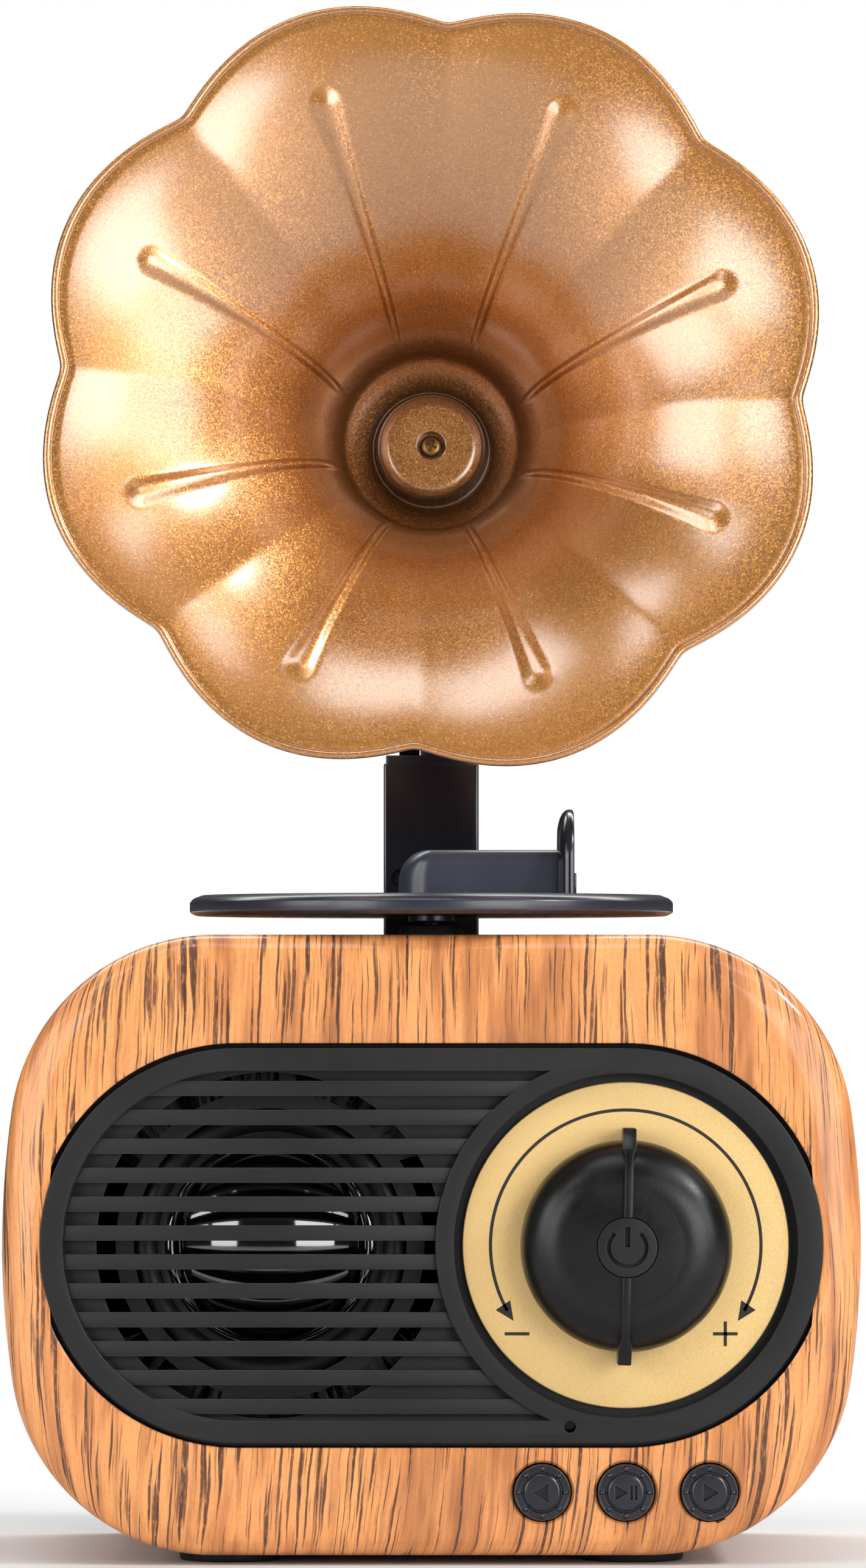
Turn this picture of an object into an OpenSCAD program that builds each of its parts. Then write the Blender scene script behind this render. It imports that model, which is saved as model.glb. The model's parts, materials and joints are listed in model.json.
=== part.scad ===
// Tabletop radio-style loudspeaker with a gramophone horn, a turntable disc and a tilting horn neck.
// Millimetres. +Z is up, the front faces -Y, and the origin is under the middle of the object.

/* [Cabinet] */
// Width of the wooden-look cabinet
body_w = 113.2; // [112.6:0.2:114.4]
// Height of the cabinet without its feet
body_h = 81.8; // [81.0:0.2:82.6]
// Depth of the cabinet from front to back
body_d = 72; // [72:0.5:78]
// Height of the feet below the cabinet
foot_h = 1.2; // [1:0.1:2]
// Radius of each foot
foot_r = 6.8; // [5:0.1:8]
// Thickness of the cabinet's side walls
wall = 2.4; // [2:0.1:3]

/* [Front] */
// Radius of the fascia's round ends
fascia_r = 25.95; // [25.6:0.05:26.2]
// Width of the fascia's raised border
fascia_border = 3; // [2.6:0.1:3.2]
// Number of grille bars
bar_count = 12; // [8:1:13]
// Distance from one grille bar to the next
bar_pitch = 3.8; // [3.4:0.1:3.8]
// Height of each grille bar
bar_h = 2; // [1.6:0.1:2.4]
// Radius of the round opening behind the grille bars
grille_open_r = 22.8; // [20:0.1:22.8]

/* [Controls] */
// Radius of the volume knob
knob_r = 13.9; // [12:0.1:15]
// How far the knob stands out of the front
knob_out = 9.5; // [8.5:0.1:11]
// How far the knob can be pressed in
knob_travel = 0.6; // [0.3:0.05:0.6]
// Radius of each push button
button_r = 3.9; // [3.5:0.1:4]
// Distance from one push button to the next
button_pitch = 11; // [10.6:0.1:11.6]

/* [Turntable] */
// Radius of the turning disc
disc_r = 32.6; // [30:0.1:32.6]
// Thickness of the turning disc
disc_t = 2.8; // [2.4:0.1:3.2]
// Gap between the cabinet's top and the disc
disc_gap = 2.7; // [2.6:0.1:3.2]

/* [Mast and horn] */
// Width of the mast
mast_w = 13.2; // [12:0.1:14]
// Height of the mast's shoulder above the cabinet
mast_h = 24.3; // [23:0.1:25]
// Width of the neck that carries the horn
neck_w = 8.9; // [8.5:0.1:10]
// Radius of the horn's rim at the notches between its petals
horn_notch_r = 48.6; // [46:0.2:50]
// How far each petal bulges beyond the notches
petal_out = 3.9; // [2:0.1:5]
// Number of petals round the horn
petals = 8; // [8:1:8]
// Depth of the horn from its rim to its throat
horn_depth = 43.5; // [42:0.5:44.5]
// How far the horn's axis points up
horn_pitch = 8; // [6:0.5:9]
// Turn of the petals about the horn's axis
horn_roll = -2.5; // [-5:0.5:5]

/* [Hidden] */
$fn = 64;

// The knob's face is the foremost point and the back edge the rearmost: y = 0 is half way.
front_y = -(body_d - knob_out) / 2;
body_top = foot_h + body_h;
mid_z = foot_h + body_h / 2;

// Cabinet outline: flat top and bottom, round corners, and slightly bulged sides.
corner_r = 27;
side_r = 125;
arc_steps = 12;
side_steps = 4;
front_wall = 5.6;
rebate = 1.2;
panel_t = 2.2;
panel_inset = 0.4;
post_x = body_w / 2 - 12.1;
post_z = body_h / 2 - 10.9;
post_r = 3.2;
panel_screw_r = 1;
foot_x = 26.7;
foot_inset = 14;
foot_sunk = 0.8;

// Fascia and dial.
fascia_x = 25.55;
fascia_z = mid_z + 0.02;
fascia_gap = 0.6;
fascia_front = -0.3;
fascia_back = 3.6;
bars_front = 0.3;
bars_back = 1.9;
bars_z = mid_z - 0.25;
dial_r = 21.5;
dial_well_r = 22.6;
dial_ring_r = 25;
dial_floor = 2.4;
dial_front = 1.5;
mic_x = 18.2;
mic_z = mid_z - 23.8;
mic_r = 0.75;

// Loudspeaker driver.
driver_x = -21.3;
driver_z = mid_z;
driver_face = front_wall;
driver_flange_r = 24.8;
driver_flange_t = 1.2;
driver_ear_at = 27.5;
driver_ear_r = 2.8;
surround_r = 18;
cone_r = 14.8;
cap_r = 12.6;
driver_back = 21;
magnet_r = 13;
magnet_t = 7;
driver_screw_r = 0.8;

// Knob and encoder, all on one axis along Y.
knob_clear = 0.4;
knob_back = dial_front - knob_travel - knob_clear;
knob_round = 4.6;
knob_pocket_r = 7;
knob_pocket_front = -3;
shaft_r = 1.5;
shaft_flat = 0.95;
shaft_front = -7;
shaft_back = 8;
run_gap = 0.06;
rotor_r = 2.5;
rotor_front = -2;
rotor_back = 7.6;
rotor_flange_r = 4.2;
bushing_r = 3.5;
encoder_side = 12;
encoder_back = 9.8;
encoder_room_r = 4.6;
rib_w = 1.8;
rib_reach = 15.5;
badge_r = 4.1;
badge_proud = 0.15;

// Push buttons, counted from the left.
button_x = fascia_x - button_pitch;
button_z = foot_h + 8.5;
button_front = -0.9;
button_gap = 0.25;
button_flange_r = 4.35;
button_flange_d = front_wall + 0.4;
button_back = 8.6;
button_travel = 0.6;
rivet_at = 3.1;
rivet_r = 0.39;
switch_front = button_back + button_travel + 0.2;
switch_back = 11.6;

// Electronics.
board_front = 62.4;
board_t = 1.4;
board_w = 74;
board_z = 12;
board_h = 44;
board_leg_x = 34;
board_leg_z = 19;
button_board_right = 40;
button_board_w = 31.5;
button_board_bottom = foot_h + 5.6;
button_board_h = 11.6;
standoff_z = button_z + 6.5;
jack_r = 1.8;
jack_x = 14;
jack_front = 56.4;
port_z = 20;
usb_x = 0;
card_x = -16;
light_x = 24;
port_back = body_d - panel_inset;
battery_r = 9.1;
battery_l = 65;
battery_d = 42;
battery_z = foot_h + wall + 2 + battery_r;
lead_sides = 8;
lead_r = 0.6;

// Turntable: the disc, its spindle and the tone arm turn together.
disc_d = 30;
disc_z = body_top + disc_gap;
bush_flange_r = 4.4;
bush_flange_t = 1.5;
bush_r = 3.2;
bush_l = 5;
spindle_r = 1.5;
clip_r = 3;
arm_r = 4.4;
arm_h = 6.1;
arm_end = 17;
head_t = 2.2;
head_h = 11.6;
head_w = 14;
head_boss = 4;

// Mast, hinge and neck.
mast_front = 63;
mast_t = 7.5;
mast_mid = mast_front + mast_t / 2;
mast_top = body_top + mast_h;
barrel_r = 3.7;
hinge_z = mast_top + barrel_r + 0.3;
tongue_t = 3;
tongue_gap = 0.1;
pin_r = 1.2;
pin_gap = 0.05;
bracket_w = 11;
bracket_t = 1.5;
bracket_top = body_top + 13;
mast_screw_x = 4.4;
mast_screw_z = body_top + 8.3;
mast_screw_r = 1.15;
mast_screw_deep = 1.8;
mast_shank_r = 0.6;

// Horn: its rim is a plane tilted with the axis.
rim_d = 2;
rim_z = 155.6;
throat_r = 12.2;
boss_r = 8.7;
boss_face_r = 5.9;
boss_h = 3.5;
groove_floor = horn_depth;
horn_wall = 1.3;
lip_r = 0.9;
segments = 96;
flare_steps = 20;
flare_depth = horn_depth - 2.5;
stem_r = 6.2;
stem_back = 59;
hub_back = 69;
hub_r = 6.6;
horn_screw_r = 0.9;
screw_head_r = 1.45;
counterbore_r = 1.9;

// ---------- helpers ----------

// Points of an arc about [cx, cy] from angle a0 to a1 in n steps.
function arc(cx, cy, r, a0, a1, n) =
    [for (i = [0:n]) let (a = a0 + (a1 - a0) * i / n) [cx + r * cos(a), cy + r * sin(a)]];

// Quarter of the cabinet's outline for half sizes [w, h], drawn inwards by an inset.
function quarter(w, h, inset) =
    let (cx_side = w - side_r,
         cy = h - corner_r,
         cx = cx_side + sqrt(pow(side_r - corner_r, 2) - cy * cy),
         tangent = asin(cy / (side_r - corner_r)),
         side = arc(cx_side, 0, side_r - inset, 0, tangent, side_steps),
         corner = arc(cx, cy, corner_r - inset, tangent, 90, arc_steps))
    concat([for (i = [0:side_steps - 1]) side[i]], corner);

function reversed(list) = [for (i = [len(list) - 1:-1:0]) list[i]];

// The whole outline, anticlockwise from the right-hand side.
function outline(w, h, inset = 0) =
    let (q = quarter(w, h, inset), n = len(q) - 1)
    concat(q,
           [for (p = reversed(q)) [-p[0], p[1]]],
           [for (i = [1:n]) [-q[i][0], -q[i][1]]],
           [for (i = [n:-1:1]) [q[i][0], -q[i][1]]]);

// Closed skin over equal rings of points, with flat ends.
module skin(rings) {
    n = len(rings[0]);
    last = len(rings) - 1;
    points = [for (ring = rings) each ring];
    sides = [for (k = [0:last - 1], i = [0:n - 1]) let (j = (i + 1) % n)
        each [[k * n + i, k * n + j, (k + 1) * n + j], [k * n + i, (k + 1) * n + j, (k + 1) * n + i]]];
    ends = [[for (i = [n - 1:-1:0]) i], [for (i = [0:n - 1]) last * n + i]];
    polyhedron(points, concat(sides, ends), convexity = 8);
}

// Places children at a depth behind the front plane.
module at_depth(d, x = 0, z = 0) {
    translate([x, front_y + d, z]) children();
}

// Rod along Y between two depths.
module rod(r, d0, d1, x = 0, z = 0) {
    at_depth(d1, x, z) rotate([90, 0, 0]) cylinder(r = r, h = d1 - d0);
}

// Box between two depths, centred on x and z.
module block(w, h, d0, d1, x = 0, z = 0) {
    at_depth(d0, x - w / 2, z - h / 2) cube([w, d1 - d0, h]);
}

// Flat outline drawn in X and Z, pushed back between two depths.
module plate(d0, d1) {
    at_depth(d1) rotate([90, 0, 0]) linear_extrude(d1 - d0) children();
}

// Profile turned about a Y axis: its x is the radius and its y is the distance towards the front.
module turned(x, z) {
    at_depth(0, x, z) rotate([90, 0, 0]) rotate_extrude() children();
}

// Stadium of the fascia's shape in X and Z.
module stadium(d0, d1, r) {
    block(2 * fascia_x, 2 * r, d0, d1, 0, fascia_z);
    for (x = [-fascia_x, fascia_x]) rod(r, d0, d1, x, fascia_z);
}

// Cabinet outline as a plate, drawn in by an inset.
module cabinet_plate(d0, d1, inset) {
    plate(d0, d1) translate([0, mid_z]) polygon(outline(body_w / 2, body_h / 2, inset));
}

// Places children at the middle of each back-panel screw.
module at_posts() {
    for (x = [-post_x, post_x], z = [mid_z - post_z, mid_z + post_z]) translate([x, 0, z]) children();
}

// Screw along Y: head at the back, shank towards the front.
module screw_back(head_r, head_h, shank_r, shank_l, d) {
    rod(head_r, d - head_h, d);
    rod(shank_r, d - head_h - shank_l, d - head_h);
}

// Ring of points round a lead's middle line.
function lead_ring(p, t, r) =
    let (u = cross(t, [0.31, 0.23, 0.92]), un = u / norm(u), v = cross(un, t) / norm(t))
    [for (i = [0:lead_sides - 1]) let (a = -360 * i / lead_sides) p + r * (un * cos(a) + v * sin(a))];

// Point on a smooth curve through four points.
function curve_at(a, b, c, d, t) =
    0.5 * (2 * b + (c - a) * t + (2 * a - 5 * b + 4 * c - d) * t * t + (3 * b - a - 3 * c + d) * t * t * t);

// Smooth route through a list of points, three steps a span.
function smooth(route) =
    let (n = len(route) - 1)
    concat([for (i = [0:n - 1], s = [0:2])
                curve_at(route[max(i - 1, 0)], route[i], route[i + 1], route[min(i + 2, n)], s / 3)],
           [route[n]]);

// Insulated lead along a route of [x, depth, z] points.
module lead(route, r = lead_r) {
    path = smooth(route);
    n = len(path) - 1;
    rings = [for (i = [0:n]) lead_ring([path[i][0], front_y + path[i][1], path[i][2]],
                                       path[min(i + 1, n)] - path[max(i - 1, 0)], r)];
    skin(rings);
}

// ---------- cabinet ----------

// Rings of the cabinet's skin: [depth, inset at the sides, inset at top and bottom].
edge_rings = [[0, 7, 5.2], [0.25, 3.6, 2.2], [0.45, 2.9, 1.6], [0.9, 1.7, 0.9], [1.6, 0.75, 0.4],
              [2.6, 0.15, 0.1], [3.6, 0, 0]];

module cabinet_solid() {
    rear = [[body_d - 1.6, 0], [body_d - 0.6, 0.35], [body_d, 1]];
    skin(concat(
        [for (e = edge_rings)
            [for (p = outline(body_w / 2 - e[1], body_h / 2 - e[2])) [p[0], front_y + e[0], mid_z + p[1]]]],
        [for (e = rear)
            [for (p = outline(body_w / 2, body_h / 2, e[1])) [p[0], front_y + e[0], mid_z + p[1]]]]));
}

module housing() {
    color([0.80, 0.54, 0.33]) difference() {
        union() {
            difference() {
                cabinet_solid();
                cabinet_plate(front_wall, body_d + 1, wall);
            }
            intersection() {
                at_posts() rod(post_r, front_wall - 1, body_d - panel_inset - panel_t);
                cabinet_plate(front_wall - 1, body_d, wall / 2);
            }
            for (x = [fascia_x - 14, fascia_x + 8]) rod(1.5, front_wall - 1, switch_back, x, standoff_z);
        }
        cabinet_plate(body_d - panel_inset - panel_t, body_d + 1, rebate);
        stadium(-1, fascia_back, fascia_r + fascia_gap);
        stadium(-1, front_wall + 1, fascia_r - fascia_border);
        rod(mic_r + 0.4, 0, front_wall + 1, mic_x, mic_z);
        for (i = [0:2])
            rod(button_r + button_gap, -1, front_wall + 1, button_x + i * button_pitch, button_z);
        at_posts() rod(panel_screw_r, body_d - 14, body_d);
        driver_ears() rod(driver_screw_r, front_wall - 1.4, front_wall + 1);
        translate([0, front_y + disc_d, body_top - wall - 1]) cylinder(r = bush_r + 0.1, h = wall + 2);
        block(bracket_w + 0.3, 2 * wall + 2, mast_mid - 0.85, mast_mid + 0.85, 0, body_top - wall / 2);
        for (x = [-foot_x, foot_x], d = [foot_inset, body_d - foot_inset])
            translate([x, front_y + d, foot_h - 1]) cylinder(r = foot_r + 0.1, h = foot_sunk + 1);
        bracket_holes(body_top - wall - 1, 2);
    }
}

module back_panel() {
    color([0.08, 0.08, 0.09]) difference() {
        union() {
            cabinet_plate(body_d - panel_inset - panel_t, body_d - panel_inset, rebate + 0.15);
            for (x = [-board_leg_x, board_leg_x], z = [-board_leg_z, board_leg_z])
                rod(2, board_front + board_t, body_d - panel_inset - panel_t + 0.1, x,
                    board_z + board_h / 2 + z);
        }
        at_posts() rod(panel_screw_r + 0.2, 0, body_d);
        at_posts() rod(2.2, body_d - panel_inset - 1.2, body_d);
        rod(3.1, 0, body_d, jack_x, port_z);
        rod(1.1, 0, body_d, light_x, port_z);
        block(9.3, 3.5, 0, body_d, usb_x, port_z);
        block(13.3, 2.3, 0, body_d, card_x, port_z);
    }
}

module back_panel_screws() {
    color([0.45, 0.45, 0.47]) at_posts()
        difference() {
            screw_back(2, 1, panel_screw_r, 12, body_d - panel_inset - 0.2);
            block(2.6, 0.5, body_d - panel_inset - 0.7, body_d);
            block(0.5, 2.6, body_d - panel_inset - 0.7, body_d);
        }
}

module feet() {
    color([0.05, 0.05, 0.05])
        for (x = [-foot_x, foot_x], d = [foot_inset, body_d - foot_inset])
            translate([x, front_y + d, 0]) rotate_extrude()
                polygon([[0, 0], [foot_r - 0.5, 0], [foot_r, 0.5], [foot_r, foot_h + foot_sunk],
                         [0, foot_h + foot_sunk]]);
}

// ---------- fascia and dial ----------

module grille_slots() {
    first_z = bars_z + bar_pitch * (bar_count - 1) / 2;
    intersection() {
        union()
            for (i = [0:bar_count])
                block(4 * fascia_x, bar_pitch - bar_h, bars_front - 0.2, bars_back, 0,
                      first_z + (0.5 - i) * bar_pitch);
        stadium(bars_front - 0.2, bars_back, fascia_r - fascia_border);
    }
}

module fascia() {
    color([0.10, 0.10, 0.10]) difference() {
        stadium(fascia_front, fascia_back, fascia_r);
        difference() {
            union() {
                stadium(fascia_front - 1, bars_front, fascia_r - fascia_border);
                grille_slots();
            }
            rod(dial_ring_r, -2, fascia_back, fascia_x, fascia_z);
        }
        difference() {
            rod(grille_open_r, bars_back, fascia_back + 1, driver_x, driver_z);
            rod(dial_ring_r, 0, fascia_back + 1, fascia_x, fascia_z);
        }
        rod(dial_well_r, fascia_front - 1, dial_floor, fascia_x, fascia_z);
        rod(bushing_r + 0.1, 0, fascia_back + 1, fascia_x, fascia_z);
        rod(mic_r, fascia_front - 1, fascia_back + 1, mic_x, mic_z);
    }
}

module dial_plate() {
    color([0.85, 0.72, 0.48]) difference() {
        rod(dial_r, dial_front, dial_floor, fascia_x, fascia_z);
        rod(6.4, 0, dial_floor + 1, fascia_x, fascia_z);
    }
}

// ---------- loudspeaker driver ----------

module driver_ears() {
    for (a = [70, 110, 250, 290])
        translate([driver_x + driver_ear_at * cos(a), 0, driver_z + driver_ear_at * sin(a)]) children();
}

module driver_basket() {
    color([0.14, 0.14, 0.15]) difference() {
        union() {
            rod(driver_flange_r, driver_face, driver_face + driver_flange_t, driver_x, driver_z);
            driver_ears() rod(driver_ear_r, driver_face, driver_face + driver_flange_t);
            turned(driver_x, driver_z)
                polygon([[0, -driver_back], [magnet_r, -driver_back], [magnet_r + 1, -driver_back + 2],
                         [surround_r + 2.5, -driver_face - 3], [surround_r + 2.5, -driver_face],
                         [0, -driver_face]]);
        }
        turned(driver_x, driver_z)
            polygon([[0, -driver_back + 1.2], [magnet_r - 1, -driver_back + 1.2],
                     [magnet_r, -driver_back + 3], [surround_r + 1.3, -driver_face - 3.6],
                     [surround_r + 1.3, -driver_face - 1.4], [surround_r, -driver_face - 1.4],
                     [surround_r, -driver_face + 1], [0, -driver_face + 1]]);
        driver_ears() rod(driver_screw_r + 0.3, driver_face - 1, driver_face + 3);
        for (a = [45:90:315])
            translate([driver_x, 0, driver_z]) rotate([0, a, 0]) translate([-driver_x, 0, -driver_z])
                block(9, 9, driver_face + 6, driver_face + 12, driver_x + 16, driver_z);
    }
}

module driver_surround() {
    face = -driver_face - 1.4;
    color([0.06, 0.06, 0.06]) turned(driver_x, driver_z) difference() {
        union() {
            translate([(surround_r + cone_r) / 2, face]) circle(r = (surround_r - cone_r) / 2);
            translate([cone_r - 0.6, face - 0.6]) square([surround_r - cone_r + 1.8, 0.6]);
        }
        translate([(surround_r + cone_r) / 2, face]) circle(r = (surround_r - cone_r) / 2 - 0.5);
        translate([cone_r - 2, face - 3]) square([surround_r - cone_r + 4, 2.4]);
    }
}

module driver_cone() {
    face = -driver_face - 2;
    color([0.09, 0.09, 0.10]) turned(driver_x, driver_z)
        polygon([[cone_r, face], [cone_r, face - 0.5], [7, face - 6.5], [7, face - 11], [6.5, face - 11],
                 [6.5, face - 5.8], [cone_r - 1, face]]);
}

module driver_dust_cap() {
    face = -driver_face - 2.4;
    dome_r = 22;
    drop = dome_r - sqrt(dome_r * dome_r - cap_r * cap_r);
    lean = asin(cap_r / dome_r);
    color([0.04, 0.04, 0.05]) turned(driver_x, driver_z)
        polygon(concat([[0, face - dome_r + drop + dome_r - 0.5]],
                       arc(0, face - dome_r + drop, dome_r, 90, 90 - lean, 8),
                       [[cap_r - 0.1, face - 0.45]],
                       reversed(arc(0, face - dome_r + drop, dome_r - 0.5, 89, 91 - lean, 6))));
}

module driver_magnet() {
    color([0.25, 0.25, 0.27]) difference() {
        rod(magnet_r - 0.5, driver_back, driver_back + magnet_t, driver_x, driver_z);
        rod(magnet_r + 1, driver_back + 1.4, driver_back + 1.7, driver_x, driver_z);
    }
}

module driver_screws() {
    color([0.5, 0.5, 0.52]) driver_ears()
        screw_back(1.5, 1, driver_screw_r, driver_flange_t + 1.3, driver_face + driver_flange_t + 1);
}

// ---------- knob ----------

// Round bar with a flat along one side, for the shaft and for its sockets.
module keyed_rod(r, flat, d0, d1) {
    difference() {
        rod(r, d0, d1, fascia_x, fascia_z);
        block(2 * r, 2 * r, d0 - 1, d1 + 1, fascia_x, fascia_z + flat + r);
    }
}

module encoder_body() {
    color([0.35, 0.37, 0.36]) difference() {
        union() {
            block(encoder_side, encoder_side, fascia_back, encoder_back, fascia_x, fascia_z);
            rod(bushing_r, -1, fascia_back, fascia_x, fascia_z);
        }
        rod(rotor_r + run_gap, -2, encoder_back - 1, fascia_x, fascia_z);
        rod(encoder_room_r, fascia_back + 1.2, encoder_back - 1, fascia_x, fascia_z);
    }
}

module encoder_nut() {
    color([0.7, 0.7, 0.72]) difference() {
        at_depth(dial_floor, fascia_x, fascia_z) rotate([90, 0, 0]) cylinder(r = 5.6, h = 1.7, $fn = 6);
        rod(bushing_r, 0, dial_floor + 1, fascia_x, fascia_z);
    }
}

module encoder_rotor() {
    color([0.85, 0.85, 0.82]) difference() {
        union() {
            rod(rotor_r, rotor_front, rotor_back, fascia_x, fascia_z);
            rod(rotor_flange_r, fascia_back + 1.5, fascia_back + 2.4, fascia_x, fascia_z);
        }
        keyed_rod(shaft_r + run_gap, shaft_flat + run_gap, rotor_front - 1, rotor_back + 1);
    }
}

module encoder_shaft() {
    color([0.75, 0.75, 0.77]) keyed_rod(shaft_r, shaft_flat, shaft_front, shaft_back);
}

module knob() {
    color([0.10, 0.10, 0.10]) difference() {
        union() {
            turned(fascia_x, fascia_z) {
                translate([0, -knob_back]) square([knob_r, knob_out + knob_back - knob_round]);
                square([knob_r - knob_round, knob_out]);
                translate([knob_r - knob_round, knob_out - knob_round]) circle(r = knob_round);
            }
            block(rib_w, 2 * rib_reach, -2.4, knob_back, fascia_x, fascia_z);
        }
        rod(knob_pocket_r, knob_pocket_front, knob_back + 1, fascia_x, fascia_z);
        keyed_rod(shaft_r, shaft_flat, shaft_front, 0);
        rod(badge_r, -knob_out - 1, -knob_out + 0.6, fascia_x, fascia_z);
    }
}

module knob_badge() {
    color([0.13, 0.13, 0.13]) difference() {
        rod(badge_r, -knob_out, -knob_out + 0.6, fascia_x, fascia_z);
        difference() {
            rod(2.3, -knob_out - 1, -knob_out + badge_proud, fascia_x, fascia_z);
            rod(1.9, -knob_out - 2, -knob_out + 1, fascia_x, fascia_z);
            block(1.6, 3, -knob_out - 2, -knob_out + 1, fascia_x, fascia_z + 1.8);
        }
        block(0.4, 2.2, -knob_out - 1, -knob_out + badge_proud, fascia_x, fascia_z + 1.2);
    }
}

// ---------- push buttons ----------

// One button cap; turn points its triangle left (180) or right (0).
module button_cap(index, turn) {
    x = button_x + index * button_pitch;
    color([0.10, 0.10, 0.14]) difference() {
        union() {
            rod(button_r, button_front + 0.25, button_flange_d, x, button_z);
            rod(button_flange_r, button_flange_d, button_flange_d + 1, x, button_z);
            rod(1.5, button_flange_d + 1, button_back, x, button_z);
            rod(2.4, button_front, 0, x, button_z);
            for (a = [22.5:45:359])
                rod(rivet_r, button_front, 0, x + rivet_at * cos(a), button_z + rivet_at * sin(a));
        }
        at_depth(button_front + 0.12, x, button_z) rotate([90, 0, 0]) rotate([0, 0, turn])
            cylinder(r = 1.1, h = 1, $fn = 3);
    }
}

module button_previous() { button_cap(0, 180); }
module button_play() { button_cap(1, 0); }
module button_next() { button_cap(2, 0); }

module button_board() {
    color([0.10, 0.30, 0.16])
        block(button_board_w, button_board_h, switch_back, switch_back + 1.2,
              button_board_right - button_board_w / 2, button_board_bottom + button_board_h / 2);
}

module button_switches() {
    color([0.6, 0.6, 0.62]) for (i = [0:2]) {
        block(5, 5, switch_front + 0.7, switch_back, button_x + i * button_pitch, button_z);
        rod(1.2, switch_front, switch_front + 0.7, button_x + i * button_pitch, button_z);
    }
}

// ---------- electronics ----------

module main_board() {
    color([0.08, 0.28, 0.15]) {
        difference() {
            block(board_w, board_h, board_front, board_front + board_t, 0, board_z + board_h / 2);
            block(7.4, 7.4, 0, body_d, jack_x, port_z);
        }
        block(9, 9, board_front - 1.2, board_front, 8, board_z + 30);
        block(6, 5, board_front - 1.6, board_front, -18, board_z + 28);
        rod(3, board_front - 8, board_front, -28, board_z + 34);
        rod(3, board_front - 8, board_front, 28, board_z + 34);
    }
}

module charge_port() {
    color([0.7, 0.7, 0.72]) difference() {
        block(9, 3.2, board_front + board_t, port_back - 0.3, usb_x, port_z);
        block(8.4, 2.6, board_front + board_t + 0.5, body_d, usb_x, port_z);
    }
}

module audio_jack() {
    color([0.07, 0.07, 0.07]) difference() {
        union() {
            rod(3, jack_front + 10, port_back - 0.2, jack_x, port_z);
            block(7, 7, jack_front, jack_front + 10.5, jack_x, port_z);
        }
        rod(jack_r, jack_front + 0.6, body_d, jack_x, port_z);
    }
}

module card_slot() {
    color([0.6, 0.6, 0.62]) difference() {
        block(13, 2, board_front + board_t, port_back - 0.6, card_x, port_z);
        block(11.2, 0.9, board_front + board_t + 0.5, body_d, card_x, port_z);
    }
}

module status_light() {
    color([0.3, 0.5, 0.9]) union() {
        rod(1, board_front + board_t, port_back, light_x, port_z);
        rod(1.5, board_front + board_t, board_front + board_t + 1, light_x, port_z);
    }
}

module microphone() {
    color([0.7, 0.7, 0.7]) rod(2, front_wall, front_wall + 2, mic_x, mic_z);
}

module battery() {
    color([0.15, 0.35, 0.62]) at_depth(battery_d, -battery_l / 2, battery_z)
        rotate([0, 90, 0]) rotate_extrude()
            polygon([[0, 0], [battery_r - 0.6, 0], [battery_r, 0.6], [battery_r, battery_l - 0.6],
                     [battery_r - 0.6, battery_l], [0, battery_l]]);
}

module battery_cradle() {
    color([0.12, 0.12, 0.12]) difference() {
        for (x = [-24, 0, 24])
            translate([x - 2, front_y + battery_d - 10, foot_h + wall]) cube([4, 20, 8]);
        at_depth(battery_d, -battery_l, battery_z) rotate([0, 90, 0])
            cylinder(r = battery_r, h = 2 * battery_l);
    }
}

// Routes of the inner leads, as [x, depth, z], and the step from the first lead of a pair to the second.
speaker_route = [[-27.5, 6.9, 64.3], [-27.5, 12, 64.5], [-27.5, 24, 62], [-25, 40, 57], [-21, 54, 49],
                 [-19, 61, 45], [-19, 62.2, 45]];
speaker_step = [2.4, 0, 0];
battery_route = [[32.65, 42, 14], [34.5, 42, 14.2], [36.5, 46, 19], [36, 53, 26], [34, 59, 30],
                 [33, 62.2, 30.5]];
battery_step = [0, 0, 2.4];
control_route = [[33, 12.9, 9.7], [33, 15, 9.7], [36, 22, 9.5], [39.5, 32, 11], [39.5, 46, 16],
                 [36.5, 56, 22], [35, 62.2, 23]];
control_step = [-2.4, 0, 0];

module lead_pair(route, step) {
    for (s = [0, 1]) lead([for (p = route) p + s * step]);
}

module speaker_leads() {
    color([0.75, 0.1, 0.1]) lead_pair(speaker_route, speaker_step);
}

module battery_leads() {
    color([0.8, 0.15, 0.1]) lead_pair(battery_route, battery_step);
}

module control_leads() {
    color([0.85, 0.85, 0.85]) lead_pair(control_route, control_step);
}

// ---------- turntable ----------

module at_spindle(z) {
    translate([0, front_y + disc_d, z]) children();
}

module spindle_bush() {
    color([0.06, 0.06, 0.07]) difference() {
        union() {
            at_spindle(body_top) cylinder(r = bush_flange_r, h = bush_flange_t);
            at_spindle(body_top - bush_l) cylinder(r = bush_r, h = bush_l);
        }
        at_spindle(body_top - bush_l - 1) cylinder(r = spindle_r + run_gap, h = 20);
    }
}

module spindle() {
    color([0.6, 0.6, 0.62]) at_spindle(body_top - bush_l - 2.6)
        cylinder(r = spindle_r, h = bush_l + 2.6 + disc_gap + disc_t - 0.6);
}

module spindle_clip() {
    color([0.4, 0.4, 0.42]) difference() {
        at_spindle(body_top - bush_l - 1.3) cylinder(r = clip_r, h = 1);
        at_spindle(body_top - bush_l - 2) cylinder(r = spindle_r, h = 3);
    }
}

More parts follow.
